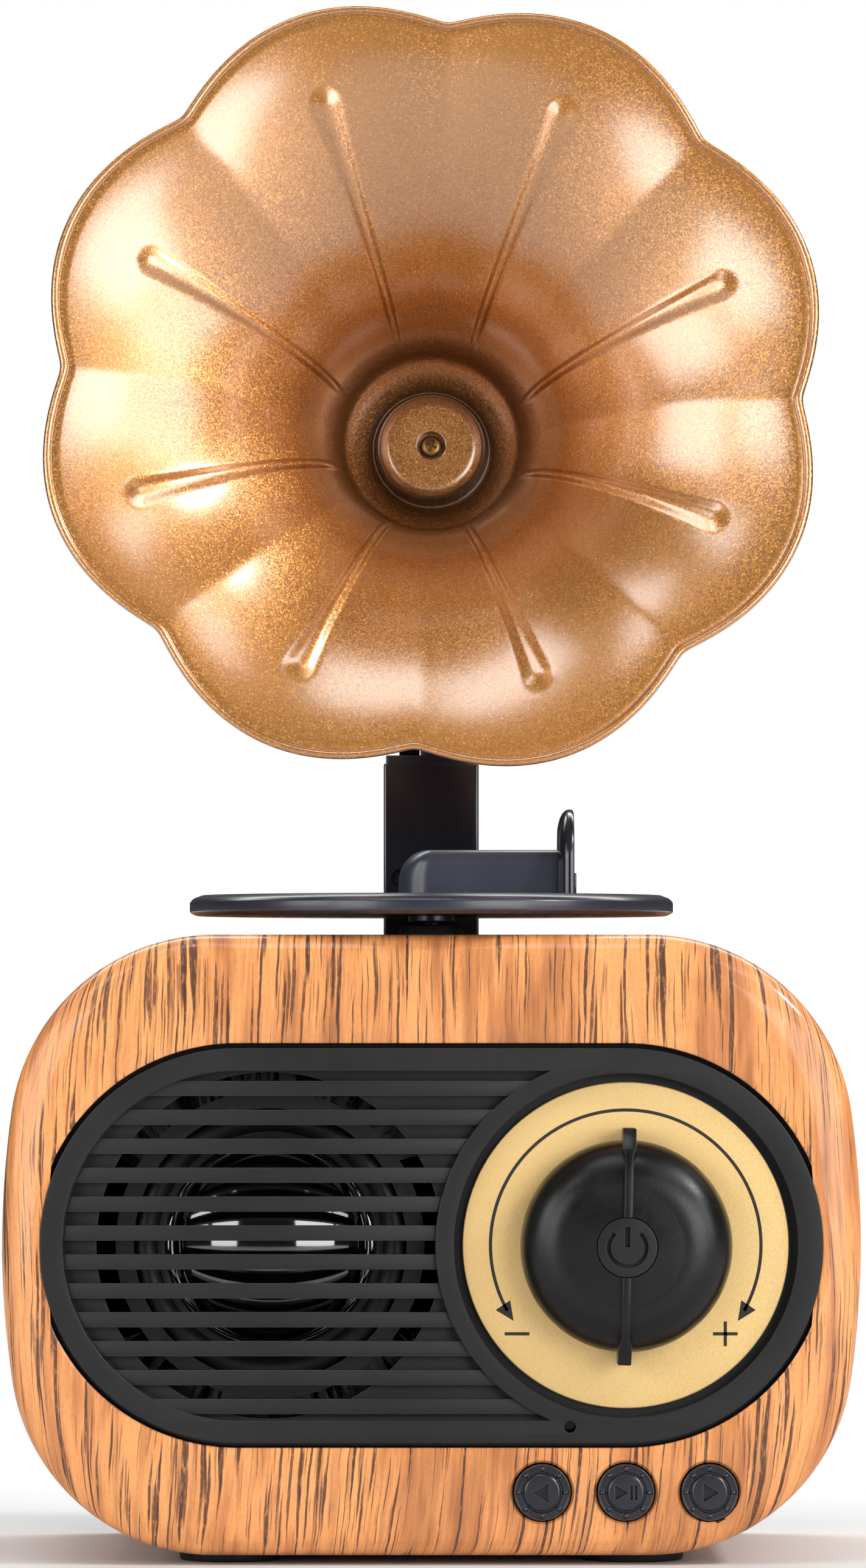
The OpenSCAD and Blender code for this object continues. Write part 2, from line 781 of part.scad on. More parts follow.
module turntable_disc() {
    chamfer = 0.8;
    color([0.07, 0.07, 0.09]) difference() {
        at_spindle(disc_z) rotate_extrude()
            polygon([[0, 0], [disc_r - chamfer, 0], [disc_r, chamfer], [disc_r, disc_t - chamfer],
                     [disc_r - chamfer, disc_t], [0, disc_t]]);
        at_spindle(disc_z - 2) cylinder(r = spindle_r, h = disc_t + 1.4);
        for (r = [31, 12])
            difference() {
                at_spindle(disc_z + disc_t - 0.2) cylinder(r = r, h = 1);
                at_spindle(disc_z + disc_t - 1) cylinder(r = r - 0.3, h = 3);
            }
    }
    color([0.07, 0.07, 0.09]) difference() {
        at_spindle(disc_z - 0.9) cylinder(r = 3.1, h = 0.9);
        at_spindle(disc_z - 2) cylinder(r = spindle_r, h = 4);
    }
}

module tone_arm() {
    color([0.12, 0.12, 0.15]) at_spindle(disc_z + disc_t) {
        rotate_extrude()
            union() {
                square([arm_r, arm_h - 1.6]);
                square([arm_r - 1.6, arm_h]);
                translate([arm_r - 1.6, arm_h - 1.6]) circle(r = 1.6);
            }
        translate([0, -arm_r, 0]) cube([arm_end, 2 * arm_r, arm_h - 1.6]);
        translate([0, -arm_r + 1.6, 0]) cube([arm_end, 2 * arm_r - 3.2, arm_h]);
        for (s = [-1, 1])
            translate([0, s * (arm_r - 1.6), arm_h - 1.6]) rotate([0, 90, 0]) cylinder(r = 1.6, h = arm_end);
    }
}

module tone_arm_head() {
    arch_r = head_w / 2;
    color([0.12, 0.12, 0.15]) at_spindle(disc_z + disc_t) translate([arm_end, 0, 0]) {
        intersection() {
            union() {
                translate([0, -arch_r, 0]) cube([head_t, head_w, head_h - arch_r]);
                translate([0, 0, head_h - arch_r]) rotate([0, 90, 0]) cylinder(r = arch_r, h = head_t);
            }
            translate([0, -arch_r, 0]) cube([head_t, head_w, head_h]);
        }
        translate([head_t, -head_boss / 2, 0]) cube([0.8, head_boss, head_boss]);
    }
}

// ---------- mast and hinge ----------

module bracket_holes(z, h) {
    for (x = [-2.6, 2.6]) translate([x, front_y + mast_mid - 8, z]) cylinder(r = 0.8, h = h);
}

module mast() {
    color([0.05, 0.05, 0.07]) difference() {
        union() {
            block(mast_w, mast_h, mast_front, mast_front + mast_t, 0, body_top + mast_h / 2);
            block(tongue_t, hinge_z - mast_top + 1, mast_mid - barrel_r + 0.3, mast_mid + barrel_r - 0.3, 0,
                  (hinge_z + mast_top - 1) / 2);
            at_depth(mast_mid, -tongue_t / 2, hinge_z) rotate([0, 90, 0])
                cylinder(r = barrel_r - 0.3, h = tongue_t);
        }
        at_depth(mast_mid, -mast_w, hinge_z) rotate([0, 90, 0])
            cylinder(r = pin_r + pin_gap, h = 2 * mast_w);
        block(bracket_w + 0.1, 2 * (bracket_top - body_top) + 0.2, mast_mid - bracket_t / 2 - 0.05,
              mast_mid + bracket_t / 2 + 0.05, 0, body_top);
        for (x = [-mast_screw_x, mast_screw_x]) {
            rod(mast_screw_r, mast_front - 1, mast_front + mast_screw_deep, x, mast_screw_z);
            rod(mast_shank_r + pin_gap, mast_front, mast_mid + bracket_t / 2 + pin_gap, x, mast_screw_z);
        }
    }
}

module mast_bracket() {
    color([0.55, 0.55, 0.57]) difference() {
        union() {
            block(bracket_w, bracket_top - body_top + wall + 2, mast_mid - bracket_t / 2,
                  mast_mid + bracket_t / 2, 0, (bracket_top + body_top - wall - 2) / 2);
            block(bracket_w, 1.4, mast_mid - 12, mast_mid - bracket_t / 2, 0, body_top - wall - 0.7);
        }
        for (x = [-mast_screw_x, mast_screw_x]) rod(mast_shank_r, 0, body_d, x, mast_screw_z);
        bracket_holes(body_top - wall - 3, 4);
    }
}

module mast_screws() {
    color([0.3, 0.3, 0.32]) for (x = [-mast_screw_x, mast_screw_x]) {
        rod(mast_screw_r - 0.1, mast_front + mast_screw_deep - 0.9, mast_front + mast_screw_deep, x,
            mast_screw_z);
        rod(mast_shank_r, mast_front + mast_screw_deep, mast_mid + bracket_t / 2, x, mast_screw_z);
    }
}

module bracket_screws() {
    color([0.5, 0.5, 0.52]) {
        bracket_holes(body_top - wall - 1.4, 2.4);
        for (x = [-2.6, 2.6])
            translate([x, front_y + mast_mid - 8, body_top - wall - 2.2]) cylinder(r = 1.4, h = 0.8);
    }
}

module hinge_pin() {
    color([0.65, 0.65, 0.67]) at_depth(mast_mid, -neck_w / 2, hinge_z) rotate([0, 90, 0])
        cylinder(r = pin_r, h = neck_w);
}

// Places children in the horn's own frame: z = 0 at the rim, z growing back along the axis.
module at_horn() {
    at_depth(rim_d, 0, rim_z) rotate([-90 - horn_pitch, 0, 0]) rotate([0, 0, -horn_roll]) children();
}

module neck() {
    color([0.05, 0.05, 0.07]) difference() {
        union() {
            at_depth(mast_mid, -neck_w / 2, hinge_z) rotate([0, 90, 0]) cylinder(r = barrel_r, h = neck_w);
            block(neck_w, 32, mast_mid - barrel_r + 0.4, mast_mid + barrel_r - 0.4, 0, hinge_z + 16);
            at_horn() translate([0, 0, stem_back]) cylinder(r = hub_r, h = hub_back - stem_back);
        }
        at_depth(mast_mid, -neck_w, hinge_z) rotate([0, 90, 0]) cylinder(r = pin_r, h = 2 * neck_w);
        at_depth(mast_mid, -tongue_t / 2 - tongue_gap, hinge_z) rotate([0, 90, 0])
            cylinder(r = barrel_r + 0.1, h = tongue_t + 2 * tongue_gap);
        at_horn() translate([0, 0, stem_back - 1]) cylinder(r = horn_screw_r, h = 8);
    }
}

// ---------- horn ----------

// Petal bulge at an angle: 0 at the notches, 1 at the petals' middles.
function petal(a) = pow(abs(sin(a * petals / 2)), 0.85);

// Radius of the flare at a share of its depth, 0 at the rim and 1 at the throat.
function flare_r(t) = throat_r + (horn_notch_r - throat_r) * pow(1 - pow(t, 0.72), 1.786);

// How strongly the petals show at a radius.
function petal_share(r) = pow(max(0, (r - throat_r) / (horn_notch_r - throat_r)), 1.4);

// Inner wall, then the throat floor, the boss, and back along the outer wall: [radius, depth, petal].
inner_wall = [for (i = [0:flare_steps]) let (t = pow(1 - i / flare_steps, 1.6), r = flare_r(t))
    [r, t * flare_depth, petal_share(r)]];
outer_wall = [for (i = [0:flare_steps]) let (t = pow(i / flare_steps, 1.6), r = flare_r(t))
    [r + horn_wall * (0.75 + 0.25 * t), t * flare_depth + 0.7, petal_share(r)]];
lip = [[horn_notch_r + lip_r * 0.55, -0.45, 1], [horn_notch_r + lip_r, 0.1, 1]];
boss = [[boss_face_r, horn_depth - boss_h, 0], [boss_r - 1.5, horn_depth - boss_h + 0.7, 0],
        [boss_r - 0.5, horn_depth - boss_h + 2, 0], [boss_r + 0.2, groove_floor, 0],
        [boss_r + 0.9, groove_floor - 0.1, 0], [throat_r - 1, groove_floor - 1.1, 0]];
back = [[throat_r + 0.6, horn_depth, 0], [stem_r + 2, horn_depth + 3.5, 0], [stem_r, horn_depth + 5.5, 0],
        [stem_r, stem_back, 0]];

function horn_ring(p) = [for (i = [0:segments - 1]) let (a = 360 * i / segments)
    [(p[0] + petal_out * p[2] * petal(a)) * cos(a), (p[0] + petal_out * p[2] * petal(a)) * sin(a), p[1]]];

module horn() {
    color([0.77, 0.55, 0.33]) at_horn() difference() {
        skin([for (p = concat(boss, inner_wall, lip, outer_wall, back)) horn_ring(p)]);
        translate([0, 0, horn_depth - boss_h - 1]) cylinder(r = counterbore_r, h = 2.2);
        translate([0, 0, horn_depth - boss_h]) cylinder(r = horn_screw_r + 0.15, h = 30);
    }
}

module horn_screw() {
    seat = horn_depth - boss_h + 1.2;
    color([0.5, 0.48, 0.45]) at_horn() difference() {
        union() {
            translate([0, 0, seat - 0.9]) cylinder(r = screw_head_r, h = 0.9);
            translate([0, 0, seat]) cylinder(r = horn_screw_r, h = stem_back + 6 - seat);
        }
        for (a = [0, 90])
            rotate([0, 0, a]) translate([-0.9, -0.18, seat - 1]) cube([1.8, 0.36, 0.6]);
    }
}

housing();
back_panel();
back_panel_screws();
feet();
fascia();
dial_plate();
driver_basket();
driver_surround();
driver_cone();
driver_dust_cap();
driver_magnet();
driver_screws();
encoder_body();
encoder_nut();
encoder_rotor();
encoder_shaft();
knob();
knob_badge();
button_previous();
button_play();
button_next();
button_board();
button_switches();
main_board();
charge_port();
audio_jack();
card_slot();
status_light();
microphone();
battery();
battery_cradle();
speaker_leads();
battery_leads();
control_leads();
spindle_bush();
spindle();
spindle_clip();
turntable_disc();
tone_arm();
tone_arm_head();
mast();
mast_bracket();
mast_screws();
bracket_screws();
hinge_pin();
neck();
horn();
horn_screw();
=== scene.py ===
"""Looks of the horn loudspeaker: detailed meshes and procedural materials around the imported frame."""
import json
from math import asin, atan2, copysign, cos, degrees, hypot, pi, radians, sin, sqrt

import bmesh
import bpy
from mathutils import Matrix, Vector


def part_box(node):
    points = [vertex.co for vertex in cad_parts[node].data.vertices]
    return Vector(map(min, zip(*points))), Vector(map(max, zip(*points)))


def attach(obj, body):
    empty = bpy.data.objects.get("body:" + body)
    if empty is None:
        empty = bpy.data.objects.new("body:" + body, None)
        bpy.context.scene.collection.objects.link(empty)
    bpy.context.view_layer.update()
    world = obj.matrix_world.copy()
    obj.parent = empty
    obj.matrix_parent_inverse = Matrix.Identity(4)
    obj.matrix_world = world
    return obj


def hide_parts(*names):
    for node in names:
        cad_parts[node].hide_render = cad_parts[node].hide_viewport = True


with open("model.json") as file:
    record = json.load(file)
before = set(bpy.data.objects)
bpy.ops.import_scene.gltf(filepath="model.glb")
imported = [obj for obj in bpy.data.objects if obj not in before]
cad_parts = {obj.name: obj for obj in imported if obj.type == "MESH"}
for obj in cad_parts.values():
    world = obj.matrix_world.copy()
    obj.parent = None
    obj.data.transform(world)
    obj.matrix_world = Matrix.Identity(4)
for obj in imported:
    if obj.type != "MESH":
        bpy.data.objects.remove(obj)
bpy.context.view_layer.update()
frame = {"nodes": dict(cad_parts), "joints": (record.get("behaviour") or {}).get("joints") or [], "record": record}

MM = 0.001
TAU = 2 * pi

# ---------- places, all taken from the frame ----------

shell_lo, shell_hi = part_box("housing")
front_y = shell_lo.y
body_depth = shell_hi.y - shell_lo.y
half_w = (shell_hi.x - shell_lo.x) / 2
half_h = (shell_hi.z - shell_lo.z) / 2
mid_z = (shell_hi.z + shell_lo.z) / 2
fascia_lo, fascia_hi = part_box("fascia")
fascia_z = (fascia_lo.z + fascia_hi.z) / 2
fascia_r = (fascia_hi.z - fascia_lo.z) / 2
fascia_x = fascia_hi.x - fascia_r
dial_lo, dial_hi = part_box("dial_plate")
dial_x = (dial_lo.x + dial_hi.x) / 2
dial_z = (dial_lo.z + dial_hi.z) / 2
dial_r = (dial_hi.x - dial_lo.x) / 2
driver_lo, driver_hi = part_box("driver_magnet")
driver_x = (driver_lo.x + driver_hi.x) / 2
driver_z = (driver_lo.z + driver_hi.z) / 2
disc_lo, disc_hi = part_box("turntable_disc")
disc_x = (disc_lo.x + disc_hi.x) / 2
disc_y = (disc_lo.y + disc_hi.y) / 2
disc_r = (disc_hi.x - disc_lo.x) / 2
tilt_joint = next(j for j in frame["joints"] if j["name"] == "horn_tilt")
hinge = Vector(tilt_joint["pos_m"])

# The horn's rim centre, seen from the hinge, and the direction its axis points.
RIM_FROM_HINGE = Vector((0, -64.75, 44.3)) * MM
HORN_PITCH = radians(8)
HORN_ROLL = radians(-2.5)
rim_centre = hinge + RIM_FROM_HINGE
horn_frame = (Matrix.Translation(rim_centre) @ Matrix.Rotation(radians(-90) - HORN_PITCH, 4,
    "X") @ Matrix.Rotation(-HORN_ROLL, 4, "Z"))


def front_frame(x, z, depth=0.0):
    """Local +Z points out of the front, so a turned profile's height is the distance towards the front."""
    return Matrix.Translation((x, front_y + depth, z)) @ Matrix.Rotation(radians(90), 4, "X")


def upright_frame(x, y, z):
    return Matrix.Translation((x, y, z))


# ---------- mesh making ----------

def placed(name, data):
    """A new object in the scene."""
    obj = bpy.data.objects.new(name, data)
    bpy.context.scene.collection.objects.link(obj)
    return obj


def add_object(name, mesh, material, body, replaces=()):
    """Links a finished mesh, and says what it is made of, what it moves with and what it stands for."""
    mesh.name = name
    obj = placed(name, mesh)
    mesh.materials.clear()
    mesh.materials.append(MATERIALS[material])
    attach(obj, body)
    if replaces:
        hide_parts(*replaces)


def smooth(mesh, angle=35):
    mesh.shade_smooth()
    mesh.set_sharp_from_angle(angle=radians(angle))
    return mesh


def cleaned(mesh, angle=35, merge=0.0):
    """Welds points closer than merge, in mm, turns the faces outwards and smooths them."""
    bm = bmesh.new()
    bm.from_mesh(mesh)
    if merge:
        bmesh.ops.remove_doubles(bm, verts=bm.verts, dist=merge * MM)
    bmesh.ops.recalc_face_normals(bm, faces=bm.faces)
    bm.to_mesh(mesh)
    bm.free()
    return smooth(mesh, angle)


def mesh_from(points, faces, angle=35):
    mesh = bpy.data.meshes.new("mesh")
    mesh.from_pydata([tuple(p) for p in points], [], faces)
    return cleaned(mesh, angle)


def held(x):
    """x held between 0 and 1."""
    return min(1.0, max(0.0, x))


def eased(x):
    """A smooth step from 0 to 1."""
    x = held(x)
    return x * x * (3 - 2 * x)


def arc(cx, cy, r, a0, a1, steps):
    """Points along an arc, angles in degrees."""
    out = []
    for i in range(steps + 1):
        a = radians(a0 + (a1 - a0) * i / steps)
        out.append((cx + r * cos(a), cy + r * sin(a)))
    return out


def rounded(points, steps=5):
    """A polyline of (x, y) or (x, y, radius); a point with a radius is a rounded corner."""
    out = []
    for i, p in enumerate(points):
        r = p[2] if len(p) > 2 else 0
        if r <= 0 or i == 0 or i == len(points) - 1:
            out.append(tuple(p[:2]))
            continue
        here = Vector(p[:2])
        back = Vector(points[i - 1][:2]) - here
        ahead = Vector(points[i + 1][:2]) - here
        r = min(r, back.length * 0.49, ahead.length * 0.49)
        a = here + back.normalized() * r
        b = here + ahead.normalized() * r
        for k in range(steps + 1):
            t = k / steps
            out.append(tuple(a * (1 - t) ** 2 + here * 2 * t * (1 - t) + b * t * t))
    return out


def turned(profile, place, segments=96, angle=35, centre=(0, 0)):
    """A turned piece; profile is a list of (radius, height) in mm, closed where it meets the axis."""
    points, rows = [], []
    for r, h in profile:
        if r < 1e-6:
            rows.append([len(points)])
            points.append(place @ Vector((centre[0], centre[1], h * MM)))
            continue
        row = []
        for i in range(segments):
            a = TAU * i / segments
            row.append(len(points))
            points.append(place @ Vector((centre[0] + r * MM * cos(a), centre[1] + r * MM * sin(a),
                h * MM)))
        rows.append(row)
    faces = []
    for low, high in zip(rows, rows[1:]):
        for i in range(segments):
            j = (i + 1) % segments
            quad = [low[i % len(low)], low[j % len(low)], high[j % len(high)], high[i % len(high)]]
            face = []
            for v in quad:
                if v not in face:
                    face.append(v)
            if len(face) > 2:
                faces.append(face)
    return mesh_from(points, faces, angle)


def skin(rings, closed_ends=True, angle=35):
    """A closed skin over equal rings of points."""
    n = len(rings[0])
    points = [p for ring in rings for p in ring]
    faces = []
    for k in range(len(rings) - 1):
        for i in range(n):
            j = (i + 1) % n
            faces.append((k * n + i, k * n + j, (k + 1) * n + j, (k + 1) * n + i))
    if closed_ends:
        faces.append(tuple(range(n))[::-1])
        faces.append(tuple((len(rings) - 1) * n + i for i in range(n)))
    return mesh_from(points, faces, angle)


def plate(loops, y0, y1, bevel=0.0, steps=3, angle=40):
    """A flat plate in X and Z with holes, between two depths in mm; loops are lists of (x, z) in mm."""
    curve = bpy.data.curves.new("plate", "CURVE")
    curve.dimensions = "2D"
    curve.fill_mode = "BOTH"
    half = (y1 - y0) / 2
    curve.extrude = (half - bevel) * MM
    curve.bevel_depth = bevel * MM
    curve.bevel_resolution = steps
    curve.offset = -bevel * MM
    for loop in loops:
        spline = curve.splines.new("POLY")
        spline.points.add(len(loop) - 1)
        for point, (x, z) in zip(spline.points, loop):
            point.co = (x * MM, z * MM, 0, 1)
        spline.use_cyclic_u = True
    holder = placed("plate", curve)
    graph = bpy.context.evaluated_depsgraph_get()
    mesh = bpy.data.meshes.new_from_object(holder.evaluated_get(graph))
    bpy.data.objects.remove(holder)
    bpy.data.curves.remove(curve)
    place = Matrix.Translation((0, front_y + (y0 + y1) / 2 * MM, 0)) @ Matrix.Rotation(radians(90), 4, "X")
    mesh.transform(place)
    return cleaned(mesh, angle, merge=0.002)


def block(lo, hi, bevel, segments=4, angle=40):
    """A box with rounded edges, corners in metres, bevel in mm."""
    bm = bmesh.new()
    bmesh.ops.create_cube(bm, size=1)
    for v in bm.verts:
        v.co = Vector([lo[i] + (v.co[i] + 0.5) * (hi[i] - lo[i]) for i in range(3)])
    bmesh.ops.bevel(bm, geom=bm.edges[:], offset=bevel * MM, segments=segments, profile=0.5, affect="EDGES")
    mesh = bpy.data.meshes.new("mesh")
    bm.to_mesh(mesh)
    bm.free()
    return smooth(mesh, angle)


def joined(*meshes):
    """One mesh out of several."""
    bm = bmesh.new()
    for mesh in meshes:
        bm.from_mesh(mesh)
    out = bpy.data.meshes.new("mesh")
    bm.to_mesh(out)
    bm.free()
    return smooth(out)


def carved(mesh, cutters, angle=35):
    """The mesh with the cutters taken out of it."""
    holder = placed("holder", mesh)
    tools = []
    for cutter in cutters:
        tool = placed("cutter", cutter)
        tools.append(tool)
        step = holder.modifiers.new("cut", "BOOLEAN")
        step.operation = "DIFFERENCE"
        step.solver = "EXACT"
        step.object = tool
    graph = bpy.context.evaluated_depsgraph_get()
    out = bpy.data.meshes.new_from_object(holder.evaluated_get(graph))
    for obj in [holder, *tools]:
        bpy.data.objects.remove(obj)
    return smooth(out, angle)


def rod(r, h0, h1, place, segments=64):
    """A plain closed rod for cutting, along the place's Z, in mm."""
    return turned([(0, h0), (r, h0), (r, h1), (0, h1)], place, segments)


# ---------- materials ----------

class Nodes:
    """Short way to build a node material, whose shader is a Principled BSDF."""

    def __init__(self, name):
        self.material = bpy.data.materials.new(name)
        self.material.use_nodes = True
        self.tree = self.material.node_tree
        self.tree.nodes.clear()
        self.output = self.tree.nodes.new("ShaderNodeOutputMaterial")
        self.shader = self.tree.nodes.new("ShaderNodeBsdfPrincipled")
        self.tree.links.new(self.shader.outputs[0], self.output.inputs["Surface"])
        self.place = self.add("ShaderNodeTexCoord").outputs["Object"]

    def add(self, kind, inputs=None, **settings):
        node = self.tree.nodes.new(kind)
        for key, value in settings.items():
            setattr(node, key, value)
        for key, value in (inputs or {}).items():
            self.set(node.inputs[key], value)
        return node

    def set(self, socket, value):
        if isinstance(value, bpy.types.NodeSocket):
            self.tree.links.new(value, socket)
        elif isinstance(value, bpy.types.Node):
            self.tree.links.new(value.outputs[0], socket)
        else:
            socket.default_value = value

    def surface(self, **inputs):
        for key, value in inputs.items():
            self.set(self.shader.inputs[key.replace("_", " ")], value)
        return self.material

    def noise(self, scale, detail=3.0, roughness=0.5, vector=None, distortion=0.0):
        return self.add("ShaderNodeTexNoise", {"Vector": vector or self.place, "Scale": scale,
            "Detail": detail, "Roughness": roughness, "Distortion": distortion}).outputs["Fac"]

    def cells(self, scale, vector=None, output="Color"):
        return self.add("ShaderNodeTexVoronoi", {"Vector": vector or self.place,
            "Scale": scale}).outputs[output]

    def stretched(self, scale, vector=None):
        return self.add("ShaderNodeMapping", {"Vector": vector or self.place, "Scale": scale}).outputs[0]

    def ramp(self, value, stops, ease="LINEAR"):
        """Maps a value through colour stops: [(position, colour), ...]."""
        node = self.add("ShaderNodeValToRGB", {"Fac": value})
        band = node.color_ramp
        band.interpolation = ease
        while len(band.elements) < len(stops):
            band.elements.new(0.5)
        for element, (position, colour) in zip(band.elements, stops):
            element.position = position
            element.color = (*colour, 1) if len(colour) == 3 else colour
        return node.outputs["Color"]

    def level(self, value, low, high, out_low=0.0, out_high=1.0):
        return self.add("ShaderNodeMapRange", {"Value": value, "From Min": low, "From Max": high,
            "To Min": out_low, "To Max": out_high}, clamp=True).outputs[0]

    def math(self, operation, a, b=0.0, c=0.0):
        node = self.add("ShaderNodeMath", operation=operation)
        for socket, value in zip(node.inputs, (a, b, c)):
            self.set(socket, value)
        return node.outputs[0]

    def times(self, a, b):
        return self.math("MULTIPLY", a, b)

    def plus(self, a, b):
        return self.math("ADD", a, b)

    def vector(self, operation, a, b=None, **inputs):
        values = {0: a, **inputs} if b is None else {0: a, 1: b}
        return self.add("ShaderNodeVectorMath", values, operation=operation).outputs[0]

    def streaks(self, scale, detail, roughness, vector=None):
        """Noise drawn out differently along each axis."""
        return self.noise(1, detail, roughness, self.stretched(scale, vector))

    def mix(self, factor, a, b, blend="MIX"):
        node = self.add("ShaderNodeMix", data_type="RGBA", blend_type=blend)
        self.set(node.inputs["Factor"], factor)
        self.set(node.inputs["A"], (*a, 1) if isinstance(a, tuple) and len(a) == 3 else a)
        self.set(node.inputs["B"], (*b, 1) if isinstance(b, tuple) and len(b) == 3 else b)
        return node.outputs["Result"]

    def bump(self, height, strength, distance, normal=None):
        inputs = {"Height": height, "Strength": strength, "Distance": distance}
        if normal is not None:
            inputs["Normal"] = normal
        return self.add("ShaderNodeBump", inputs).outputs[0]

    def edges(self, width=0.12):
        """1 on edges and 0 on flat faces; the width is in mm."""
        rounded_normal = self.add("ShaderNodeBevel", {"Radius": width * MM}, samples=4).outputs[0]
        true_normal = self.add("ShaderNodeNewGeometry").outputs["Normal"]
        dot = self.add("ShaderNodeVectorMath", {0: rounded_normal, 1: true_normal}, operation="DOT_PRODUCT")
        return self.level(dot.outputs["Value"], 0.995, 0.90, 0.0, 1.0)


def srgb(r, g, b):
    """Linear colour from display values of 0 to 255."""
    out = []
    for value in (r, g, b):
        c = value / 255
        out.append(c / 12.92 if c <= 0.04045 else ((c + 0.055) / 1.055) ** 2.4)
    return tuple(out)


def shade(colour, gain, lift=0.0):
    """A colour made brighter or darker."""
    return tuple(min(1, c * gain + lift) for c in colour)


def textured_plastic(name, colour, roughness=0.5, grain=0.18, depth=0.02, spark=0.25, edge_wear_and_highlight=0.15, shine=0.3):
    """Moulded plastic with a fine spark-eroded texture, faint cloudiness, light specks of dust and painted
    sparkle, and paler edges that are partly worn and partly a painted edge highlight.
    """
    n = Nodes(name)
    cloud = n.noise(45, 4, 0.55)
    fine = n.noise(1 / (grain * MM), 2, 0.6)
    # Light specks: partly dust, partly painted sparkle on the textured surface.
    dust = n.level(n.cells(1 / (grain * 1.6 * MM), output="Distance"), 0.0, 0.16, 1.0, 0.0)
    lighter = shade(colour, 1.9, 0.012)
    base = n.mix(n.level(cloud, 0.3, 0.7, 0.0, 0.35), colour, lighter)
    dust_and_sparkle_speck = n.times(dust, n.level(fine, 0.5, 0.72))
    base = n.mix(n.times(dust_and_sparkle_speck, spark), base, shade(colour, 1, 0.16))
    # Paler edges: partly worn, partly a painted highlight along the edges.
    base = n.mix(n.times(n.edges(), edge_wear_and_highlight), base, shade(colour, 1, 0.12))
    rough = n.level(n.plus(cloud, n.times(fine, 0.5)), 0.45, 1.05, roughness - 0.07, roughness + 0.09)
    return n.surface(Base_Color=base, Roughness=rough, Specular_IOR_Level=shine,
        Normal=n.bump(fine, 0.5, depth * MM))


def gloss_plastic(name, colour, roughness=0.16, coat=0.3):
    """Polished black plastic with faint swirls, dust and a soft orange-peel."""
    n = Nodes(name)
    peel = n.noise(160, 2, 0.4)
    haze = n.noise(38, 5, 0.6)
    scratch = n.streaks((2600, 190, 190), 2, 0.5)
    marks = n.level(scratch, 0.62, 0.72, 0.0, 1.0)
    base = n.mix(n.level(haze, 0.35, 0.75, 0.0, 0.5), colour, shade(colour, 1.7, 0.004))
    rough = n.plus(n.level(haze, 0.3, 0.75, roughness, roughness + 0.12), n.times(marks, 0.06))
    return n.surface(Base_Color=base, Roughness=rough, Normal=n.bump(peel, 0.12, 0.03 * MM),
        Coat_Weight=coat, Coat_Roughness=0.1)


def glossy_cap(name, colour):
    """Mirror-like moulded cap with faint dust and a gentle waviness."""
    n = Nodes(name)
    wave = n.noise(90, 2, 0.5)
    dust = n.level(n.noise(2600, 3, 0.7), 0.70, 0.82, 0.0, 0.25)
    base = n.mix(dust, colour, (0.12, 0.12, 0.12))
    rough = n.level(n.noise(70, 4, 0.6), 0.35, 0.75, 0.04, 0.10)
    return n.surface(Base_Color=base, Roughness=rough, Normal=n.bump(wave, 0.08, 0.05 * MM), IOR=1.9,
        Coat_Weight=0.5, Coat_Roughness=0.03)


def rubber(name, colour, roughness=0.42):
    n = Nodes(name)
    pores = n.noise(3400, 3, 0.65)
    cloud = n.noise(60, 4, 0.6)
    smudge = n.noise(150, 3, 0.7, distortion=0.6)
    base = n.mix(n.level(cloud, 0.35, 0.7, 0, 0.5), colour, shade(colour, 1.6, 0.004))
    base = n.mix(n.times(n.edges(0.2), 0.12), base, (0.12, 0.12, 0.12))
    rough = n.level(n.plus(smudge, cloud), 0.7, 1.35, roughness - 0.08, roughness + 0.14)
    return n.surface(Base_Color=base, Roughness=rough, Specular_IOR_Level=0.33,
        Normal=n.bump(pores, 0.5, 0.03 * MM))


def metal(name, colour, roughness=0.3, brushed=(1, 1, 1), amount=0.35):
    """Plated or machined metal with directional micro scratches and faint stains."""
    n = Nodes(name)
    lines = n.noise(1, 3, 0.6, n.stretched(tuple(900 * b for b in brushed)))
    stain = n.noise(120, 4, 0.6)
    base = n.mix(n.level(stain, 0.4, 0.75, 0, 0.35), colour, shade(colour, 0.6))
    rough = n.level(lines, 0.3, 0.7, roughness - 0.06, roughness + 0.12)
    return n.surface(Base_Color=base, Metallic=0.95, Roughness=rough,
        Normal=n.bump(lines, amount * 0.3, 0.01 * MM))


def coated(name, colour, roughness=0.55, grain=500, metallic=0.0):
    """Simple coated, wrapped or printed surface for inner parts: mottled, with a fine texture."""
    n = Nodes(name)
    fine = n.noise(grain, 3, 0.6)
    patch = n.noise(grain * 0.07, 3, 0.5)
    base = n.mix(n.level(patch, 0.35, 0.7, 0, 0.6), colour, shade(colour, 0.62))
    base = n.mix(n.level(fine, 0.62, 0.8, 0, 0.3), base, shade(colour, 1.3, 0.02))
    rough = n.level(fine, 0.3, 0.75, roughness - 0.1, roughness + 0.12)
    return n.surface(Base_Color=base, Metallic=metallic, Roughness=rough, Normal=n.bump(fine, 0.2, 0.02 * MM))


